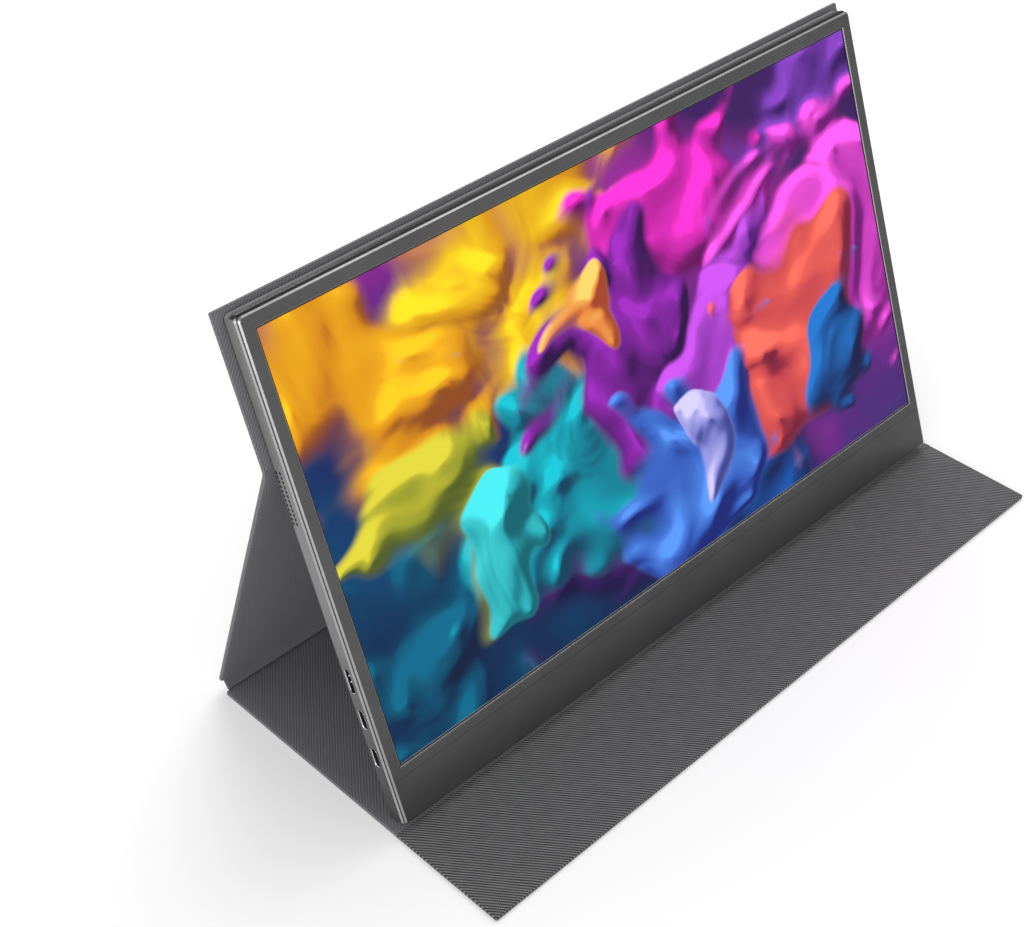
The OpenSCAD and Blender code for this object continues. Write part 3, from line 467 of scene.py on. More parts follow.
def housing(name, colour, bright, rough, metallic=1.0, window=None, with_painted_shade=False, top_chamfer_painted_share=0.6):
    """Satin blasted metal with machined, brighter chamfers.

    window blackens the walls of that opening, the flag after it adds painted shade and the top
    wall's painted highlight, and the last argument is the share of brightness that the top
    chamfer keeps, the rest being painted shade.
    """
    look = Look(name, Metallic=metallic, Specular_Tint=(0.3, 0.3, 0.3, 1), Specular_IOR_Level=0.2)
    where, place = look.local("Object", ON_MONITOR)
    normal = look.local("Normal", ON_MONITOR)[1]
    front = look.math("ABSOLUTE", normal[2])
    edge = look.within(front, *CHAMFER_TURN)
    blast = look.noise(where, BLAST_SCALE, 2.0, 0.6)
    cloud = look.noise(where, CLOUD_SCALE, 3.0)
    worn = look.noise(where, WEAR_SCALE, 3.0, 0.6)
    tint = look.mix(look.ramp(cloud, 0.3, 0.7), colour, scaled(colour, 0.9))
    speck = look.mix(look.ramp(blast, 0.35, 0.65, 0.0, 0.25), tint, scaled(colour, 1.5))
    cut = look.mix(look.ramp(worn, 0.35, 0.75, 0.0, 0.4), bright, scaled(bright, 0.7))
    # Chamfers facing up keep only a share of their brightness: painted shade
    shown = look.math("MULTIPLY", edge, look.ramp(normal[1], *TOP_CHAMFER_SHADE_TURN, 1.0, top_chamfer_painted_share))
    finish = look.mix(shown, speck, cut)
    if window:
        finish = look.mix(window_wall(look, place, front, window), finish, BLACK_PAINT_AND_SHADE)
    if with_painted_shade:
        finish = paint_shade_and_highlight(look, place, normal, finish, bright)
    matt = look.ramp(cloud, 0.3, 0.7, rough - 0.04, rough + 0.04)
    return look.use(
        Base_Color=finish,
        Roughness=look.math("SUBTRACT", matt, look.math("MULTIPLY", edge, rough * 0.2)),
        Normal=look.bump(blast, BLAST_DEPTH, GRAIN_STRENGTH),
    )


# Ribs of the cloth, in rib units: how far and how slowly they wander, the strands twisted along
# each rib, and the noise grids of lint and worn patches
WANDER = 0.45
WANDER_GRID = (0.22, 0.07, 1.0)
STRANDS = 1.6
STRAND_LEAN = 0.9
STRAND_STEP = 0.37
LINT_GRID = (4.0, 6.0, 1.0)
PATCH_GRID = (0.35, 0.2, 1.0)


def cloth(name, rear, front, rib_depth_mm, tuft=0.5, angle=RIB_ANGLE, pitch=1.0):
    """Diagonal ribbed weave, mirrored where v is below zero, and with painted rib shade there.

    rear and front are the valley and rib colours beyond and before that line, a shaded copy
    and a copy with painted rib shade; pitch is in rib units, and tuft is how deep the twist of
    the strands shows.
    """
    look = Look(name, Roughness=0.85, Sheen_Weight=0.10, Sheen_Roughness=0.5,
                Specular_IOR_Level=0.2)
    flat = look.node("SeparateXYZ", Vector=look.coords("UV")).outputs
    behind = look.math("GREATER_THAN", flat[1], 0.0)
    up = look.math("ABSOLUTE", flat[1])
    c, s = math.cos(math.radians(angle)) / pitch, math.sin(math.radians(angle)) / pitch
    over = look.math("SUBTRACT", look.math("MULTIPLY", up, c), look.math("MULTIPLY", flat[0], s))
    along = look.math("ADD", look.math("MULTIPLY", up, s), look.math("MULTIPLY", flat[0], c))
    uv = look.node("CombineXYZ", X=over, Y=along).outputs[0]
    stray = look.noise(look.vector("MULTIPLY", uv, WANDER_GRID), 1.0, 0.0)
    across = look.math("MULTIPLY_ADD", look.math("SUBTRACT", stray, 0.5), WANDER, over)
    rib = look.wave("COSINE", across)
    which = look.math("FLOOR", look.math("ADD", across, 0.5))
    lean = look.math("ADD", look.math("MULTIPLY", along, STRANDS),
                     look.math("MULTIPLY", across, STRAND_LEAN))
    twist = look.wave("SINE", look.math("MULTIPLY_ADD", which, STRAND_STEP, lean))
    lint = look.noise(look.vector("MULTIPLY", uv, LINT_GRID), 1.0, 1.0, 0.65)
    patch = look.noise(look.vector("MULTIPLY", uv, PATCH_GRID), 1.0, 1.0)
    crest = look.ramp(rib, 0.2, 0.9)
    floats = look.math("MULTIPLY", crest, look.ramp(twist, 0.1, 0.7, 1.0 - tuft, 1.0))
    shade = look.math("MULTIPLY", floats, look.ramp(lint, 0.2, 0.7, 0.72, 1.12))
    # Painted light: the shaded copy behind the line, the copy with painted rib shade before it
    low, high = (look.mix(behind, front[i], rear[i]) for i in range(2))
    body = look.mix(shade, low, high)
    worn = look.mix(look.ramp(patch, 0.3, 0.7, 0.0, 0.10), body, high)
    height = look.math("MULTIPLY_ADD", rib, 0.7, look.math("MULTIPLY", shade, 0.3))
    return look.use(Base_Color=worn, Normal=look.bump(height, rib_depth_mm * MM))


# ---- the picture on the screen ---------------------------------------------

# The ink: how far it is pushed, and the heights of its lumps and curls
PUSH = 0.62
LUMP_LEVEL, LUMP_HEIGHT = 0.36, 1.25
CURL_HEIGHT = 0.42
# Light on the ink: the step towards the lamp, its gain and level, and the strength of the glow
LIGHT_STEP = (-0.011, 0.016, 0.0)
LIGHT_GAIN, LIGHT_LEVEL = 3.3, 0.48
GLOW = 1.5
FOLD_DARK = (0.004, 0.0, 0.02, 1)


def group(name, takes, gives):
    """An empty node group: its Look, its input sockets and its output sockets."""
    tree = bpy.data.node_groups.new(name, "ShaderNodeTree")
    for side, sockets in (("INPUT", takes), ("OUTPUT", gives)):
        for label, kind in sockets.items():
            tree.interface.new_socket(label, in_out=side, socket_type="NodeSocket" + kind)
    source = tree.nodes.new("NodeGroupInput").outputs
    result = tree.nodes.new("NodeGroupOutput").inputs
    return Look(None, tree=tree), source, result


def drift_group():
    """One set of flowing ink fields at a point: where it is carried to, and its folds and lumps."""
    look, source, result = group(
        "ink_drift", {"Where": "Vector", "Seed": "Vector"}, {"Carried": "Vector", "Folds": "Float"})
    seeded = look.vector("ADD", source["Where"], source["Seed"])
    stir = look.node("TexNoise", Vector=seeded, Scale=2.2, Detail=2.0, Roughness=0.45)
    push = look.scale(look.vector("SUBTRACT", stir.outputs["Color"], (0.5, 0.5, 0.5)), PUSH)
    carried = look.vector("MULTIPLY", look.vector("ADD", source["Where"], push), (1, 1, 0))
    bent = look.vector("ADD", carried, source["Seed"])
    lumps = look.node("TexVoronoi", {"feature": "SMOOTH_F1", "voronoi_dimensions": "2D"},
                      Vector=bent, Scale=5.6, Smoothness=0.9)
    curls = look.noise(bent, 3.4, 3.0, 0.42, 1.5)
    near = look.math("SUBTRACT", LUMP_LEVEL, lumps.outputs["Distance"])
    lumpy = look.math("MULTIPLY", near, LUMP_HEIGHT)
    curly = look.math("MULTIPLY", look.math("SUBTRACT", curls, 0.5), CURL_HEIGHT)
    look.feed(result[0], carried)
    look.feed(result[1], look.math("ADD", lumpy, curly))
    return look.tree


def billow_group():
    """Lays one billow, lit from the upper left, over the colour below it."""
    takes = {
        "Here": "Vector", "Folds": "Float", "Beside": "Vector", "Folds Beside": "Float",
        "Centre": "Vector", "Size": "Float", "Soft": "Float",
        "Under": "Color", "Dark": "Color", "Light": "Color",
    }
    look, source, result = group("billow", takes, {"Colour": "Color"})
    heights = []
    for place, folds in (("Here", "Folds"), ("Beside", "Folds Beside")):
        reach = look.vector("DISTANCE", source[place], source["Centre"])
        dome = look.math("SUBTRACT", 1.0, look.math("DIVIDE", reach, source["Size"]))
        heights.append(look.math("ADD", dome, source[folds]))
    slope = look.math("SUBTRACT", heights[0], heights[1])
    lit = look.math("MULTIPLY_ADD", slope, LIGHT_GAIN, LIGHT_LEVEL)
    lit = look.math("ADD", lit, look.ramp(heights[0], 0.0, 0.9, -0.30, 0.22))
    shade = look.ramp(lit, -0.22, 1.22)
    body = look.mix(shade, source["Dark"], source["Light"])
    inside = look.mix(look.ramp(heights[0], 0.0, 0.22, 0.45, 0.0), body, source["Light"])
    glow = look.scale(source["Light"], GLOW)
    inside = look.mix(look.ramp(shade, 0.75, 1.0, 0.0, 0.6), inside, glow)
    inside = look.mix(look.ramp(shade, 0.0, 0.35, 0.50, 0.0), inside, FOLD_DARK)
    laid = look.ramp(heights[0], 0.0, source["Soft"])
    look.feed(result[0], look.mix(laid, source["Under"], inside))
    return look.tree


# The ground below the billows: places along its slant, and colours
INK_GROUND = [
    (0.10, rgb(4, 44, 84)), (0.28, rgb(6, 66, 112)), (0.42, rgb(20, 40, 98)),
    (0.56, rgb(92, 30, 128)), (0.70, rgb(150, 40, 150)), (0.86, rgb(60, 24, 96)),
]
# Billows from the lowest to the uppermost: centre, size, drift set, softness, shadow, lit colour
BILLOWS = [
    ((1.62, 0.88), 0.44, 0, 0.70, rgb(58, 14, 104), rgb(122, 58, 178)),
    ((0.16, 0.16), 0.44, 1, 0.80, rgb(0, 40, 78), rgb(0, 96, 128)),
    ((1.22, 0.10), 0.44, 0, 0.80, rgb(8, 18, 74), rgb(16, 78, 160)),
    ((0.70, 0.10), 0.30, 1, 0.70, rgb(22, 12, 74), rgb(74, 26, 110)),
    ((0.62, 0.88), 0.46, 1, 0.55, rgb(204, 116, 0), rgb(252, 210, 24)),
    ((0.20, 0.76), 0.36, 0, 0.45, rgb(196, 104, 6), rgb(254, 190, 20)),
    ((1.10, 0.80), 0.32, 1, 0.35, rgb(140, 8, 122), rgb(240, 44, 200)),
    ((1.58, 0.56), 0.38, 0, 0.35, rgb(150, 16, 150), rgb(250, 84, 226)),
    ((0.56, 0.38), 0.33, 1, 0.26, rgb(0, 92, 124), rgb(8, 182, 198)),
    ((0.86, 0.60), 0.33, 0, 0.24, rgb(58, 6, 88), rgb(150, 36, 180)),
    ((1.14, 0.48), 0.24, 1, 0.22, rgb(86, 10, 130), rgb(190, 74, 222)),
    ((1.38, 0.34), 0.26, 0, 0.20, rgb(168, 34, 66), rgb(250, 104, 88)),
    ((0.26, 0.46), 0.22, 0, 0.35, rgb(112, 130, 30), rgb(206, 196, 52)),
    ((0.98, 0.24), 0.23, 1, 0.20, rgb(24, 52, 160), rgb(80, 140, 238)),
    ((1.60, 0.20), 0.20, 1, 0.30, rgb(4, 30, 92), rgb(20, 108, 190)),
    ((0.74, 0.72), 0.13, 0, 0.18, rgb(224, 96, 34), rgb(255, 196, 96)),
    ((1.04, 0.30), 0.11, 0, 0.14, rgb(84, 96, 196), rgb(196, 190, 250)),
    ((0.40, 0.30), 0.15, 0, 0.16, rgb(0, 138, 150), rgb(64, 216, 222)),
]
DRIFT_SEEDS = ((3.1, 7.7, 0.4), (11.3, 2.9, 5.2))


def ink_ground(look, where):
    """Slanting bands of colour with a slow wander."""
    split = look.node("SeparateXYZ", Vector=where)
    slant = look.math("MULTIPLY_ADD", split.outputs[0], 0.30,
                      look.math("MULTIPLY", split.outputs[1], 0.55))
    wander = look.math("SUBTRACT", look.noise(where, 1.3, 3.0, 0.5, 0.8), 0.5)
    ground = look.node("ValToRGB", Fac=look.math("MULTIPLY_ADD", wander, 0.8, slant))
    bar = ground.color_ramp
    for position, colour in INK_GROUND[1:-1]:
        bar.elements.new(position).color = colour
    bar.elements[0].position, bar.elements[0].color = INK_GROUND[0]
    bar.elements[-1].position, bar.elements[-1].color = INK_GROUND[-1]
    return ground.outputs[0]


def picture_look(aspect):
    """An abstract of billowing inks, in picture coordinates 0 to aspect by 0 to 1."""
    look = Look("display_glass_lit", Roughness=0.30, Specular_IOR_Level=0.06,
                Base_Color=grey(0.004, 0.001))
    where = look.vector("MULTIPLY", look.coords("UV"), (aspect, 1.0, 0.0))
    beside = look.vector("ADD", where, LIGHT_STEP)
    drift, billow = drift_group(), billow_group()
    drifts = []
    for seed in DRIFT_SEEDS:
        pair = []
        for place in (where, beside):
            pair += look.call(drift, {"Where": place, "Seed": seed})
        drifts.append(pair)
    colour = ink_ground(look, where)
    for centre, size, which, soft, dark, light in BILLOWS:
        here, folds, near, folds_near = drifts[which]
        colour = look.call(billow, {
            "Here": here, "Folds": folds, "Beside": near, "Folds Beside": folds_near,
            "Centre": (*centre, 0.0), "Size": size, "Soft": soft,
            "Under": colour, "Dark": dark, "Light": light,
        })[0]
    look.material.cycles.emission_sampling = "NONE"
    return look.use(Emission_Color=colour, Emission_Strength=1.0)


# ---- materials -------------------------------------------------------------

# The frame's window: half width, lowest and highest v
WINDOW = (172.9 * MM, 25.4 * MM, 220.8 * MM)
# The shell, with painted shade and the top wall's painted highlight
SHELL = housing("shell_metal_satin", grey(0.20, 0.002), grey(0.33, 0.005), 0.34, 0.25,
                with_painted_shade=True, top_chamfer_painted_share=0.12)
FRAME = housing("frame_metal_satin", grey(0.100, 0.002), grey(0.30, 0.005), 0.40, 1.0, WINDOW)
KEYS = housing("key_metal_satin", grey(0.22, 0.005), grey(0.40, 0.005), 0.32, 0.5)
# Valley and rib colours of the cloth: a low-contrast shaded copy, and a copy with painted
# rib shade
CLOTH_SHADED_COPY = ((0.126, 0.124, 0.135, 1), (0.184, 0.180, 0.195, 1))
CLOTH_PAINTED_RIB_SHADE = ((0.022, 0.022, 0.023, 1), (0.235, 0.235, 0.240, 1))
FINE = ((0.112, 0.109, 0.121, 1), (0.150, 0.146, 0.161, 1))
LINING = cloth("lining_ribbed", CLOTH_SHADED_COPY, CLOTH_PAINTED_RIB_SHADE, 0.14)
LEG_LINING = cloth("lining_fine", FINE, FINE, 0.03, 0.35, 98, 0.9)
OUTER = cloth("outer_ribbed", CLOTH_SHADED_COPY, CLOTH_PAINTED_RIB_SHADE, 0.14)
BLACK_PLASTIC_AND_SHADE = simple("black_plastic_moulded", grey(0.012, 0.001), grey(0.02, 0.001), 0.5)
GOLD = simple("contact_gold", (0.80, 0.55, 0.22, 1), (0.72, 0.48, 0.18, 1), 0.22, 1.0, 1500.0)
# Socket shells in near-black steel: painted shade for their insides
SOCKET_SHADE_STEEL = simple("socket_steel_painted_shade", grey(0.03, 0.001), grey(0.02, 0.001), 0.5, 0.8, 900.0)
RIM = simple("socket_rim_bright", grey(0.80, 0.01), grey(0.66, 0.01), 0.2, 1.0, 1200.0)
CUT = simple("machined_edge", grey(0.44, 0.01), grey(0.38, 0.01), 0.24, 1.0, 900.0, 0.004)
GLASS_EDGE = simple("glass_edge_ground", grey(0.34, 0.02), grey(0.28, 0.02), 0.5, 0.0, 900.0, 0.004)
# Finishes of the material slots: name, two colours, roughness, metallic, mottling per metre and
# grain in mm
PLAIN = {
    "stiffener": (
        "stiffener_board", (0.30, 0.27, 0.22, 1), (0.22, 0.20, 0.165, 1), 0.9, 0.0, 700.0, 0.05),
    "display_glass": (
        "display_glass_black", grey(0.006, 0.002), grey(0.01, 0.002), 0.18, 0.0, 400.0, 0.002),
    "optical_plastic": (
        "optical_plastic_clear", (0.62, 0.68, 0.70, 1), (0.55, 0.62, 0.65, 1),
        0.12, 0.0, 400.0, 0.002),
    "white_film": ("white_film_matt", grey(0.78, 0.01), grey(0.72, 0.02), 0.55, 0.0, 400.0, 0.005),
    "black_foam": (
        "black_foam_cellular", grey(0.008, 0.001), grey(0.016, 0.001), 0.9, 0.0, 1500.0, 0.06),
    "bare_steel": ("bare_steel_rolled", grey(0.42, 0.01), grey(0.34, 0.01), 0.32, 1.0, 900.0),
    "black_steel": ("black_steel_coated", grey(0.02, 0.001), grey(0.03, 0.001), 0.45, 0.6, 800.0),
    "circuit_board": (
        "circuit_board_mask", (0.012, 0.07, 0.035, 1), (0.02, 0.11, 0.05, 1), 0.35, 0.0, 350.0),
    "ribbon": ("ribbon_flat", (0.52, 0.50, 0.44, 1), (0.42, 0.40, 0.35, 1), 0.45, 0.0, 900.0),
    "lead_red": ("lead_red_pvc", (0.26, 0.02, 0.015, 1), (0.20, 0.015, 0.012, 1), 0.4),
    "bond_film": ("bond_film_clear", (0.55, 0.55, 0.52, 1), (0.48, 0.48, 0.45, 1), 0.5),
}
FINISH = {slot: simple(*values) for slot, values in PLAIN.items()}
FINISH.update({
    "shell_metal": SHELL, "frame_metal": FRAME, "key_metal": KEYS,
    "black_plastic": BLACK_PLASTIC_AND_SHADE, "outer_fabric": OUTER, "lining_fabric": LINING,
})


def finish_nodes():
    """Gives every CAD node the finish of its material slot, and the sockets a steel darkened with
    painted shade.
    """
    slots = {entry["node"]: entry["material_slot"] for entry in frame["record"]["subparts"]}
    for name, made in NODES.items():
        # Sockets take the steel with painted shade
        material = SOCKET_SHADE_STEEL if "_socket" in name else FINISH[slots[name]]
        if not made.material_slots:
            made.data.materials.append(material)
        for place in made.material_slots:
            place.material = material


# ---- cover panels ----------------------------------------------------------

# Edge profiles in mm: (inset, height above the outer face), and (inset, depth below the inner one)
SKIN_LOWER = ((1.6, 0.0), (0.75, 0.02), (0.38, 0.10), (0.12, 0.28), (0.0, 0.58))
SKIN_UPPER = (
    (0.0, 0.66), (0.08, 0.38), (0.26, 0.20), (0.46, 0.13), (0.62, 0.12), (0.69, 0.18), (0.7, 0.34))
SHEET_UPPER = ((0.0, 0.30), (0.05, 0.19), (0.16, 0.13), (0.9, 0.08), (2.2, 0.03), (4.0, 0.0))
BAND_EDGE = ((0.9, 0.02), (0.4, 0.05), (0.12, 0.18), (0.0, 0.42))
# Gap between the turned edge and the lining, and under the lining
SHEET_GAP = 0.04 * MM
SHEET_BED = 0.01 * MM
PANEL_GRID = (60, 12)
SKIN_CORNER = 0.8 * MM
SHEET_CORNER = 1.0 * MM
BAND_CORNER = 0.6 * MM
BAND_GRID = (60, 4)


def above(profile, base=0.0):
    """A profile in metres, measured up from a height."""
    return [(a * MM, base + b * MM) for a, b in profile]


def below(thick, profile, inset=0.0):
    """A profile in metres, measured down from the inner face."""
    return [(inset + a * MM, thick - b * MM) for a, b in profile]


def skin_profile(thick):
    """Edge of the outer fabric: round at both rims, then down behind the turned edge."""
    return above(SKIN_LOWER) + below(thick, SKIN_UPPER) + [(TURN, FABRIC_T)]


# Unevenness of the bonded lining: its depth, and its waves per metre along x and v
UNEVEN = 0.05 * MM
UNEVEN_SCALE = (26, 30)


def gentle(seed, depth):
    """Very slight unevenness of the bonded fabric, never above its flat height."""
    def wave(x, v):
        here = Vector((x * UNEVEN_SCALE[0] + seed, v * UNEVEN_SCALE[1], seed))
        return -depth * (0.5 + 0.5 * noise.noise(here))
    return wave


def panel(label, place, body, material_in=LINING, mapping=rib_units()):
    """The two skins of one stiff cover panel, in place of its CAD fabric and lining."""
    lo, hi = span(label + "_fabric", place)
    thick = hi[2]
    box = (lo[0], hi[0], lo[1], hi[1])
    skin = Form(mapping)
    slab(skin, box, SKIN_CORNER, skin_profile(thick), PANEL_GRID)
    outer = skin.piece(label + "_skin", place, OUTER)
    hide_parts(label + "_fabric")
    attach(outer, body)
    sheet = Form(mapping)
    edge = TURN + SHEET_GAP
    profile = [(edge, thick - FABRIC_T + SHEET_BED)] + below(thick, SHEET_UPPER, edge)
    slab(sheet, box, SHEET_CORNER, profile, PANEL_GRID, wave=gentle(len(label), UNEVEN))
    lining = sheet.piece(label + "_lining_sheet", place, material_in)
    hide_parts(label + "_lining")
    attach(lining, body)
    return box, thick


def strip_band():
    """The soft strip between the base and the leg: two skins bonded round a thin filler."""
    lo, hi = span("strip_fabric", ON_STRIP)
    thick = span("strip_lining", ON_STRIP)[1][2]
    box = (lo[0], hi[0], lo[1], hi[1])
    band = Form(rib_units())
    profile = above(BAND_EDGE) + below(thick, BAND_EDGE[::-1])
    slab(band, box, BAND_CORNER, profile, BAND_GRID)
    made = band.piece("strip_band", ON_STRIP, LEG_LINING)
    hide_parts("strip_fabric", "strip_lining")
    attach(made, "strip")
    return box, thick


# Webs across the folds: how far the outer face bulges in, the sag of the inner face as a share of
# its depth below the linings, the steps of the curve and across the part, and the drawn-in ends
WEB_SKIN = 0.14 * MM
WEB_BULGE = 0.10 * MM
WEB_SAG = 0.4
WEB_CURVE = 8
WEB_STEPS = 48
WEB_TIP, WEB_TAPER = 0.12 * MM, 0.55


def fold_line(start, end, height_of, sag):
    """A curve from inside one panel's end to inside the other's, at a height of each thickness."""
    (fa, va, da, ta), (fb, vb, db, tb) = start, end
    a_in, a = fa @ Vector((0, va + da, height_of(ta))), fa @ Vector((0, va, height_of(ta)))
    b_in, b = fb @ Vector((0, vb + db, height_of(tb))), fb @ Vector((0, vb, height_of(tb)))
    middle = (a + b) / 2 + sag
    points = [a_in, a]
    for i in range(1, WEB_CURVE):
        t = i / WEB_CURVE
        points.append(a * (1 - t) ** 2 + middle * 2 * t * (1 - t) + b * t * t)
    return points + [b, b_in]


def web_form(loop, sides, to_uv):
    """The loop swept across the part between two sides, with a drawn-in tip at each."""
    centre = sum(loop, Vector()) / len(loop)
    form = Form(to_uv)

    def section(x, share=1.0):
        return form.add([
            (x, centre.y + (p.y - centre.y) * share, centre.z + (p.z - centre.z) * share)
            for p in loop
        ])

    wide = sides[1] - sides[0]
    rings = [section(sides[0] + wide * i / WEB_STEPS) for i in range(WEB_STEPS + 1)]
    first = section(sides[0] - WEB_TIP, WEB_TAPER)
    last = section(sides[1] + WEB_TIP, WEB_TAPER)
    form.bridge_all([first] + rings + [last])
    form.faces.append(tuple(reversed(first)))
    form.faces.append(tuple(last))
    return form


def web(label, start, end, sides, material=LEG_LINING, sunk=0.30 * MM, mapping=rib_units()):
    """Soft fold between two panels' ends: start and end are (frame, v, inwards step, thickness).

    sunk is how far its inner face lies below the linings beside it.
    """
    facing = [place.to_3x3() @ Vector((0, 0, 1)) for place in (start[0], end[0])]
    inwards = (facing[0] + facing[1]).normalized()
    outer = fold_line(start, end, lambda t: WEB_SKIN, inwards * WEB_BULGE)
    inner = fold_line(start, end, lambda t: t - sunk, -inwards * WEB_SAG * sunk)
    to_start = start[0].inverted()
    form = web_form(outer + inner[::-1], sides, lambda p: mapping(to_start @ Vector(p)))
    made = form.piece(label, Matrix.Identity(4), material)
    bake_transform(made)


# How far a web reaches under its panels' ends, and its inset from the sides of the cover and the
# strip
GRIP = 0.45 * MM
FULL_INSET = 0.12 * MM
NARROW_INSET = 0.5 * MM


def cover():
    """Panels, strip and the webs between them; panel boxes are (x0, x1, v0, v1)."""
    desk = rib_units(RIB_MIRROR)
    base, base_t = panel("base", ON_BASE, "base", mapping=desk)
    flap, flap_t = panel("flap", ON_BASE, "flap", mapping=desk)
    leg, leg_t = panel("leg", ON_LEG, "leg", LEG_LINING)
    upper, upper_t = panel("upper", ON_UPPER, "monitor")
    strip, strip_t = strip_band()
    full = (base[0] + FULL_INSET, base[1] - FULL_INSET)
    narrow = (strip[0] + NARROW_INSET, strip[1] - NARROW_INSET)
    web("crease_web", (ON_BASE, flap[3], -GRIP, flap_t),
        (ON_BASE, base[2], GRIP, base_t), full, LINING, 0.06 * MM, desk)
    web("rear_web_low", (ON_BASE, base[3], -GRIP, strip_t),
        (ON_STRIP, strip[2], GRIP, strip_t), narrow)
    web("rear_web_high", (ON_STRIP, strip[3], -GRIP, strip_t),
        (ON_LEG, leg[2], GRIP, strip_t), narrow)
    web("upper_web", (ON_LEG, leg[3], -GRIP, leg_t),
        (ON_UPPER, upper[2], GRIP, upper_t), full, LEG_LINING, 0.10 * MM)


# ---- screen and sockets ----------------------------------------------------

# The lit area and its lowest v; the picture stops a border above it, where the ground edge lies
LIT_WIDTH, LIT_HEIGHT = 344.2 * MM, 193.6 * MM
LIT_LOW = 26.3 * MM
LIT_BORDER = 0.25 * MM
EDGE_GAP = 0.02 * MM
LIT_CORNER, EDGE_CORNER = 0.2 * MM, 0.05 * MM
LIT_GRID, EDGE_GRID = (32, 18), (32, 1)
# Edge of both sheets in mm: inset, and height above the gasket's rear face
SHEET_EDGE = ((0.03, 0.002), (0.0, 0.02), (0.0, 0.06), (0.03, 0.08))


def screen():
    """The polariser with the lit picture, and the ground edge of the glass below it."""
    rear = span("screen_gasket", ON_MONITOR)[0][2]
    profile = above(SHEET_EDGE, rear)
    half = LIT_WIDTH / 2
    sheet = Form(lambda p: ((p[0] + half) / LIT_WIDTH, (p[1] - LIT_LOW) / LIT_HEIGHT))
    box = (-half, half, LIT_LOW + LIT_BORDER, LIT_LOW + LIT_HEIGHT)
    slab(sheet, box, LIT_CORNER, profile, LIT_GRID)
    made = sheet.piece("screen_polariser", ON_MONITOR, picture_look(LIT_WIDTH / LIT_HEIGHT))
    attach(made, "monitor")
    edge = Form()
    box = (-half, half, LIT_LOW, LIT_LOW + LIT_BORDER - EDGE_GAP)
    slab(edge, box, EDGE_CORNER, profile, EDGE_GRID)
    made = edge.piece("polariser_edge", ON_MONITOR, GLASS_EDGE)
    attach(made, "monitor")


def stadium(l, w, steps=10):
    """Outline of a slot: l along v, w along h, as (v, h) pairs."""
    points = []
    for end, start in ((1, 0), (-1, 180)):
        for i in range(steps + 1):
            a = math.radians(start + 180 * i / steps)
            points.append((end * (l - w) / 2 + w / 2 * math.sin(a), w / 2 * math.cos(a)))
    return points


def trapezoid(l, w, cut, grow):
    """Outline of the mini HDMI opening, as (v, h) pairs, grown outwards."""
    a, b = l / 2 + grow, w / 2 + grow
    return [(a, -b), (a, b - cut), (a - cut, b), (-a + cut, b), (-a, b - cut), (-a, -b)]


# Socket lips in mm: how far the outline is grown, and x inwards from the left wall
LIP = ((0.16, 0.01), (0.14, -0.012), (-0.04, 0.18), (-0.11, 0.34), (-0.11, 0.62), (0.16, 0.62))
# How much a lip's outline is wider than the socket's shell, and the cut corners of mini HDMI
USB_C_WIDER = 0.3 * MM
MINI_HDMI_WIDER = 0.15 * MM
MINI_HDMI_CUT = 1.1 * MM
# Contact strips: count, pitch, width, distance from the tongue's middle, start below the wall and
# length
USB_C_CONTACTS = (12, 0.5 * MM, 0.26 * MM, 0.35 * MM, 1.9 * MM, 4.4 * MM)
MINI_HDMI_CONTACTS = (10, 0.78 * MM, 0.34 * MM, 0.30 * MM, 1.9 * MM, 4.6 * MM)
CONTACT_LIFT = 0.06 * MM
CONTACT_BEVEL = 0.02 * MM
CONTACT_CORNER = 0.05 * MM


def rim(name, outline, v, h):
    """A bright machined lip round an opening in the left side wall, with its inner liner."""
    form = Form()
    wall = SHELL_LO[0]
    rings = []
    for grow, x in LIP:
        rings.append(form.add([(wall + x * MM, v + a, h + b) for a, b in outline(grow * MM)]))
    form.bridge_all(rings + rings[:1])
    made = form.piece(name, ON_MONITOR, RIM, 30)
    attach(made, "monitor")


def contacts(name, v, h, count, pitch, width, off, start, length):
    """Rows of gold contact strips on both faces of a socket's tongue."""
    form = Form()
    x0 = SHELL_LO[0] + start
    for side in (-1, 1):
        for i in range(count):
            at = v + (i - (count - 1) / 2) * pitch
            box = (x0, x0 + length, at - width / 2, at + width / 2)
            face = h + side * off
            lift = side * CONTACT_LIFT
            profile = [
                (0.0, face - 0.3 * lift), (0.0, face + 0.6 * lift), (CONTACT_BEVEL, face + lift)]
            slab(form, box, CONTACT_CORNER, profile, (1, 1), 2)
    made = form.piece(name, ON_MONITOR, GOLD, 30)
    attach(made, "monitor")


def socket_place(node):
    """Middle and size of a socket's shell, along v and h."""
    lo, hi = span(node, ON_MONITOR)
    return (lo[1] + hi[1]) / 2, (lo[2] + hi[2]) / 2, hi[1] - lo[1], hi[2] - lo[2]


def side_sockets():
    for label in ("upper", "lower"):
        v, h, long, wide = socket_place(f"usb_c_socket_{label}")
        long, wide = long + USB_C_WIDER, wide + USB_C_WIDER
        rim(f"usb_c_rim_{label}", lambda g, l=long, w=wide: stadium(l + 2 * g, w + 2 * g), v, h)
        contacts(f"usb_c_contacts_{label}", v, h, *USB_C_CONTACTS)
    v, h, long, wide = socket_place("mini_hdmi_socket")
    rim("mini_hdmi_rim", lambda g: trapezoid(long, wide, MINI_HDMI_CUT, MINI_HDMI_WIDER + g), v, h)
    contacts("mini_hdmi_contacts", v, h, *MINI_HDMI_CONTACTS)
    tongue_tips(v, h)


# Grille: hole's length and width, holes in a row, their pitch, the rows' middle and their heights
GRILLE_HOLE = (1.4 * MM, 0.9 * MM)
GRILLE_COUNT = 12
GRILLE_PITCH = 2.0 * MM
GRILLE_MIDDLE = 151.9 * MM
GRILLE_ROWS = (1.7 * MM, 4.1 * MM)
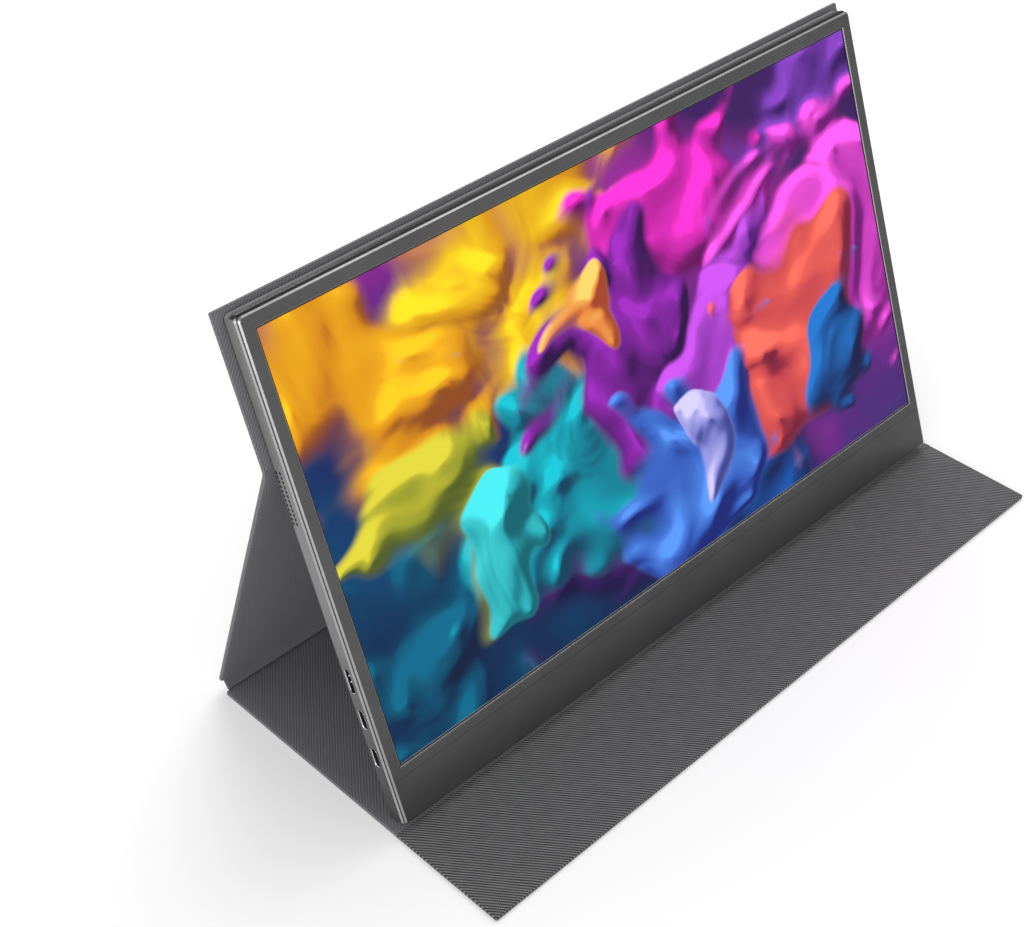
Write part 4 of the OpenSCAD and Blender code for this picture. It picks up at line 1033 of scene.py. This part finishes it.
# A ring of painted shade in mm: how far the hole's outline is grown, and the depth below the
# side wall
SHADE_RING = ((0.0, 0.30), (0.0, -0.012), (0.13, -0.012), (0.15, 0.002), (0.15, 0.30))


def shade_ring(form, side, v, row):
    """One black ring of painted shade in the wall on a side: -1 is the left, 1 is the right."""
    rings = []
    for grow, deep in SHADE_RING:
        x = side * (SHELL_HI[0] - deep * MM)
        outline = stadium(GRILLE_HOLE[0] + 2 * grow * MM, GRILLE_HOLE[1] + 2 * grow * MM, 5)
        rings.append(form.add([(x, v + a, row + b) for a, b in outline]))
    rings.append(rings[0])
    form.bridge_all(rings if side < 0 else rings[::-1])


def grille_hole_shade():
    """Painted shade: black rings and liners round the grille holes in both side walls, flush with
    the metal.
    """
    form = Form()
    for side in (-1, 1):
        for row in GRILLE_ROWS:
            for i in range(GRILLE_COUNT):
                shade_ring(form, side, GRILLE_MIDDLE + (i - (GRILLE_COUNT - 1) / 2) * GRILLE_PITCH, row)
    # The black plastic finish, here laid on as painted shade
    made = form.piece("grille_hole_shade", ON_MONITOR, BLACK_PLASTIC_AND_SHADE)
    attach(made, "monitor")


# Pins in the mini HDMI socket: length, radius, start below the wall, places along v, the round
# end's latitudes in degrees, and the sides of a pin
PIN_LENGTH, PIN_RADIUS = 1.6 * MM, 0.36 * MM
PIN_START = 0.42 * MM
PIN_PLACES = (2.5 * MM, -0.4 * MM)
PIN_ROUND = (0, 22, 45, 67, 85)
PIN_SIDES = 12


def tongue_tips(v, h):
    """Two bright round-ended pins that stand out of the mini HDMI socket's tongue."""
    form = Form()
    turns = [2 * math.pi * k / PIN_SIDES for k in range(PIN_SIDES)]
    for off in PIN_PLACES:
        stations = [(PIN_RADIUS + PIN_LENGTH, PIN_RADIUS)]
        for degrees in PIN_ROUND:
            lean = math.radians(degrees)
            stations.append((PIN_RADIUS * (1 - math.sin(lean)), PIN_RADIUS * math.cos(lean)))
        rings = []
        for deep, r in stations:
            x = SHELL_LO[0] + PIN_START + deep
            circle = [(x, v + off + r * math.cos(t), h + r * math.sin(t)) for t in turns]
            rings.append(form.add(circle))
        form.bridge_all(rings)
        form.faces.append(tuple(reversed(rings[0])))
        form.faces.append(tuple(rings[-1]))
    made = form.piece("mini_hdmi_tips", ON_MONITOR, RIM)
    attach(made, "monitor")


# The window's bright edge in mm: how far outside the opening, and height above the frame's face
WINDOW_LIP = ((-0.34, -0.36), (-0.34, -0.30), (-0.01, 0.012), (0.04, 0.012), (0.04, -0.36))


def window_rim():
    """The machined edge round the window, a hair above the frame's face."""
    form = Form()
    face = span("front_frame", ON_MONITOR)[1][2]
    rings = []
    for over, rise in WINDOW_LIP:
        half, low, high = WINDOW[0] + over * MM, WINDOW[1] - over * MM, WINDOW[2] + over * MM
        z = face + rise * MM
        rings.append(form.add([(-half, low, z), (half, low, z), (half, high, z), (-half, high, z)]))
    form.bridge_all(rings + rings[:1])
    made = form.piece("window_rim", ON_MONITOR, CUT, 20)
    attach(made, "monitor")


# ---- studio ----------------------------------------------------------------

# Distance from the part over which the floor's lift rises, the floor's half width, and its depth
LIFT_REACH = (1.0, 3.2)
FLOOR_REACH = 14.0
FLOOR_DROP = 0.05 * MM
FLOOR_WHITE = (0.72, 0.72, 0.72, 1)
FLOOR_LIFT, FAR_LIFT = 0.26, 0.52
WORLD_LEVEL = 0.68


def seen_directly(look):
    """1 for rays of the camera, of gloss and through glass, 0 for the light on the scene."""
    paths = look.tree.nodes.new("ShaderNodeLightPath")
    seen = look.math("MAXIMUM", paths.outputs["Is Camera Ray"], paths.outputs["Is Glossy Ray"])
    return look.math("MAXIMUM", seen, paths.outputs["Is Transmission Ray"])


def floor_white():
    """Matt white that the camera, gloss and glass see a little brighter than it is lit.

    The lift rises where the lamps no longer reach.
    """
    look = Look("floor_white", Roughness=0.95, Specular_IOR_Level=0.0, Base_Color=FLOOR_WHITE)
    away = look.vector("LENGTH", look.coords())
    lift = look.ramp(away, *LIFT_REACH, FLOOR_LIFT, FAR_LIFT)
    strength = look.math("MULTIPLY", seen_directly(look), lift)
    return look.use(Emission_Color=(1, 1, 1, 1), Emission_Strength=strength)


def floor():
    form = Form()
    far = FLOOR_REACH
    corners = [(-far, -far, 0), (far, -far, 0), (far, far, 0), (-far, far, 0)]
    form.faces.append(tuple(form.add(corners)))
    made = form.piece("studio_floor", Matrix.Translation((0, 0, -FLOOR_DROP)), floor_white())


def world():
    """White to look at, and a level lower as light."""
    made = bpy.data.worlds.new("studio")
    bpy.context.scene.world = made
    made.use_nodes = True
    tree = made.node_tree
    tree.nodes.clear()
    look = Look(None, tree=tree)
    output = tree.nodes.new("ShaderNodeOutputWorld")
    strength = look.ramp(seen_directly(look), 0.0, 1.0, WORLD_LEVEL, 1.0)
    back = look.node("Background", Color=(1, 1, 1, 1), Strength=strength)
    look.feed(output.inputs["Surface"], back.outputs[0])


# Lamps: place, what it points at, width and height, power
LAMPS = {
    "key": ((1.2, 0.8, 1.8), (0, 0, 0.05), (1.6, 1.6), 24.0),
    "back": ((0.45, 1.65, 0.25), (0, 0, 0.12), (0.6, 0.3), 3.0),
    "fill": ((-1.6, -1.0, 0.55), (0, 0.03, 0.08), (1.2, 0.7), 19.0),
}


def lamp(name, place, target, size, power):
    """A rectangular area lamp that faces its target."""
    data = bpy.data.lights.new(name, "AREA")
    data.shape = "RECTANGLE"
    data.size, data.size_y = size
    data.energy = power
    made = bpy.data.objects.new(name, data)
    made.location = place
    made.rotation_euler = (Vector(target) - Vector(place)).to_track_quat("-Z", "Y").to_euler()
    bpy.context.scene.collection.objects.link(made)


# The photograph's camera, fitted to the panel's corners: lens in mm on a sensor 36 mm wide, place,
# and the image's right and down in the part's frame
CAMERA_LENS, CAMERA_SENSOR = 64.345, 36.0
CAMERA_CLIP = (0.01, 100.0)
CAMERA_PLACE = (-0.48718, -0.41381, 0.59066)
CAMERA_RIGHT = (0.7142, -0.69991, -0.00709)
CAMERA_DOWN = (-0.44382, -0.44501, -0.77781)


def camera():
    """Where the photograph was taken from."""
    data = bpy.data.cameras.new("camera")
    data.sensor_width, data.lens = CAMERA_SENSOR, CAMERA_LENS
    data.clip_start, data.clip_end = CAMERA_CLIP
    down = Vector(CAMERA_DOWN)
    ahead = Vector(CAMERA_RIGHT).cross(down).normalized()
    right = down.cross(ahead).normalized()
    rows = [[right[i], -down[i], -ahead[i]] for i in range(3)]
    made = bpy.data.objects.new("camera", data)
    made.matrix_world = Matrix.Translation(CAMERA_PLACE) @ Matrix(rows).to_4x4()
    bpy.context.scene.collection.objects.link(made)
    bpy.context.scene.camera = made


camera()
finish_nodes()
cover()
screen()
side_sockets()
grille_hole_shade()
window_rim()
floor()
world()
for lamp_name, lamp_values in LAMPS.items():
    lamp(lamp_name, *lamp_values)
bpy.context.scene.view_settings.view_transform = "Standard"
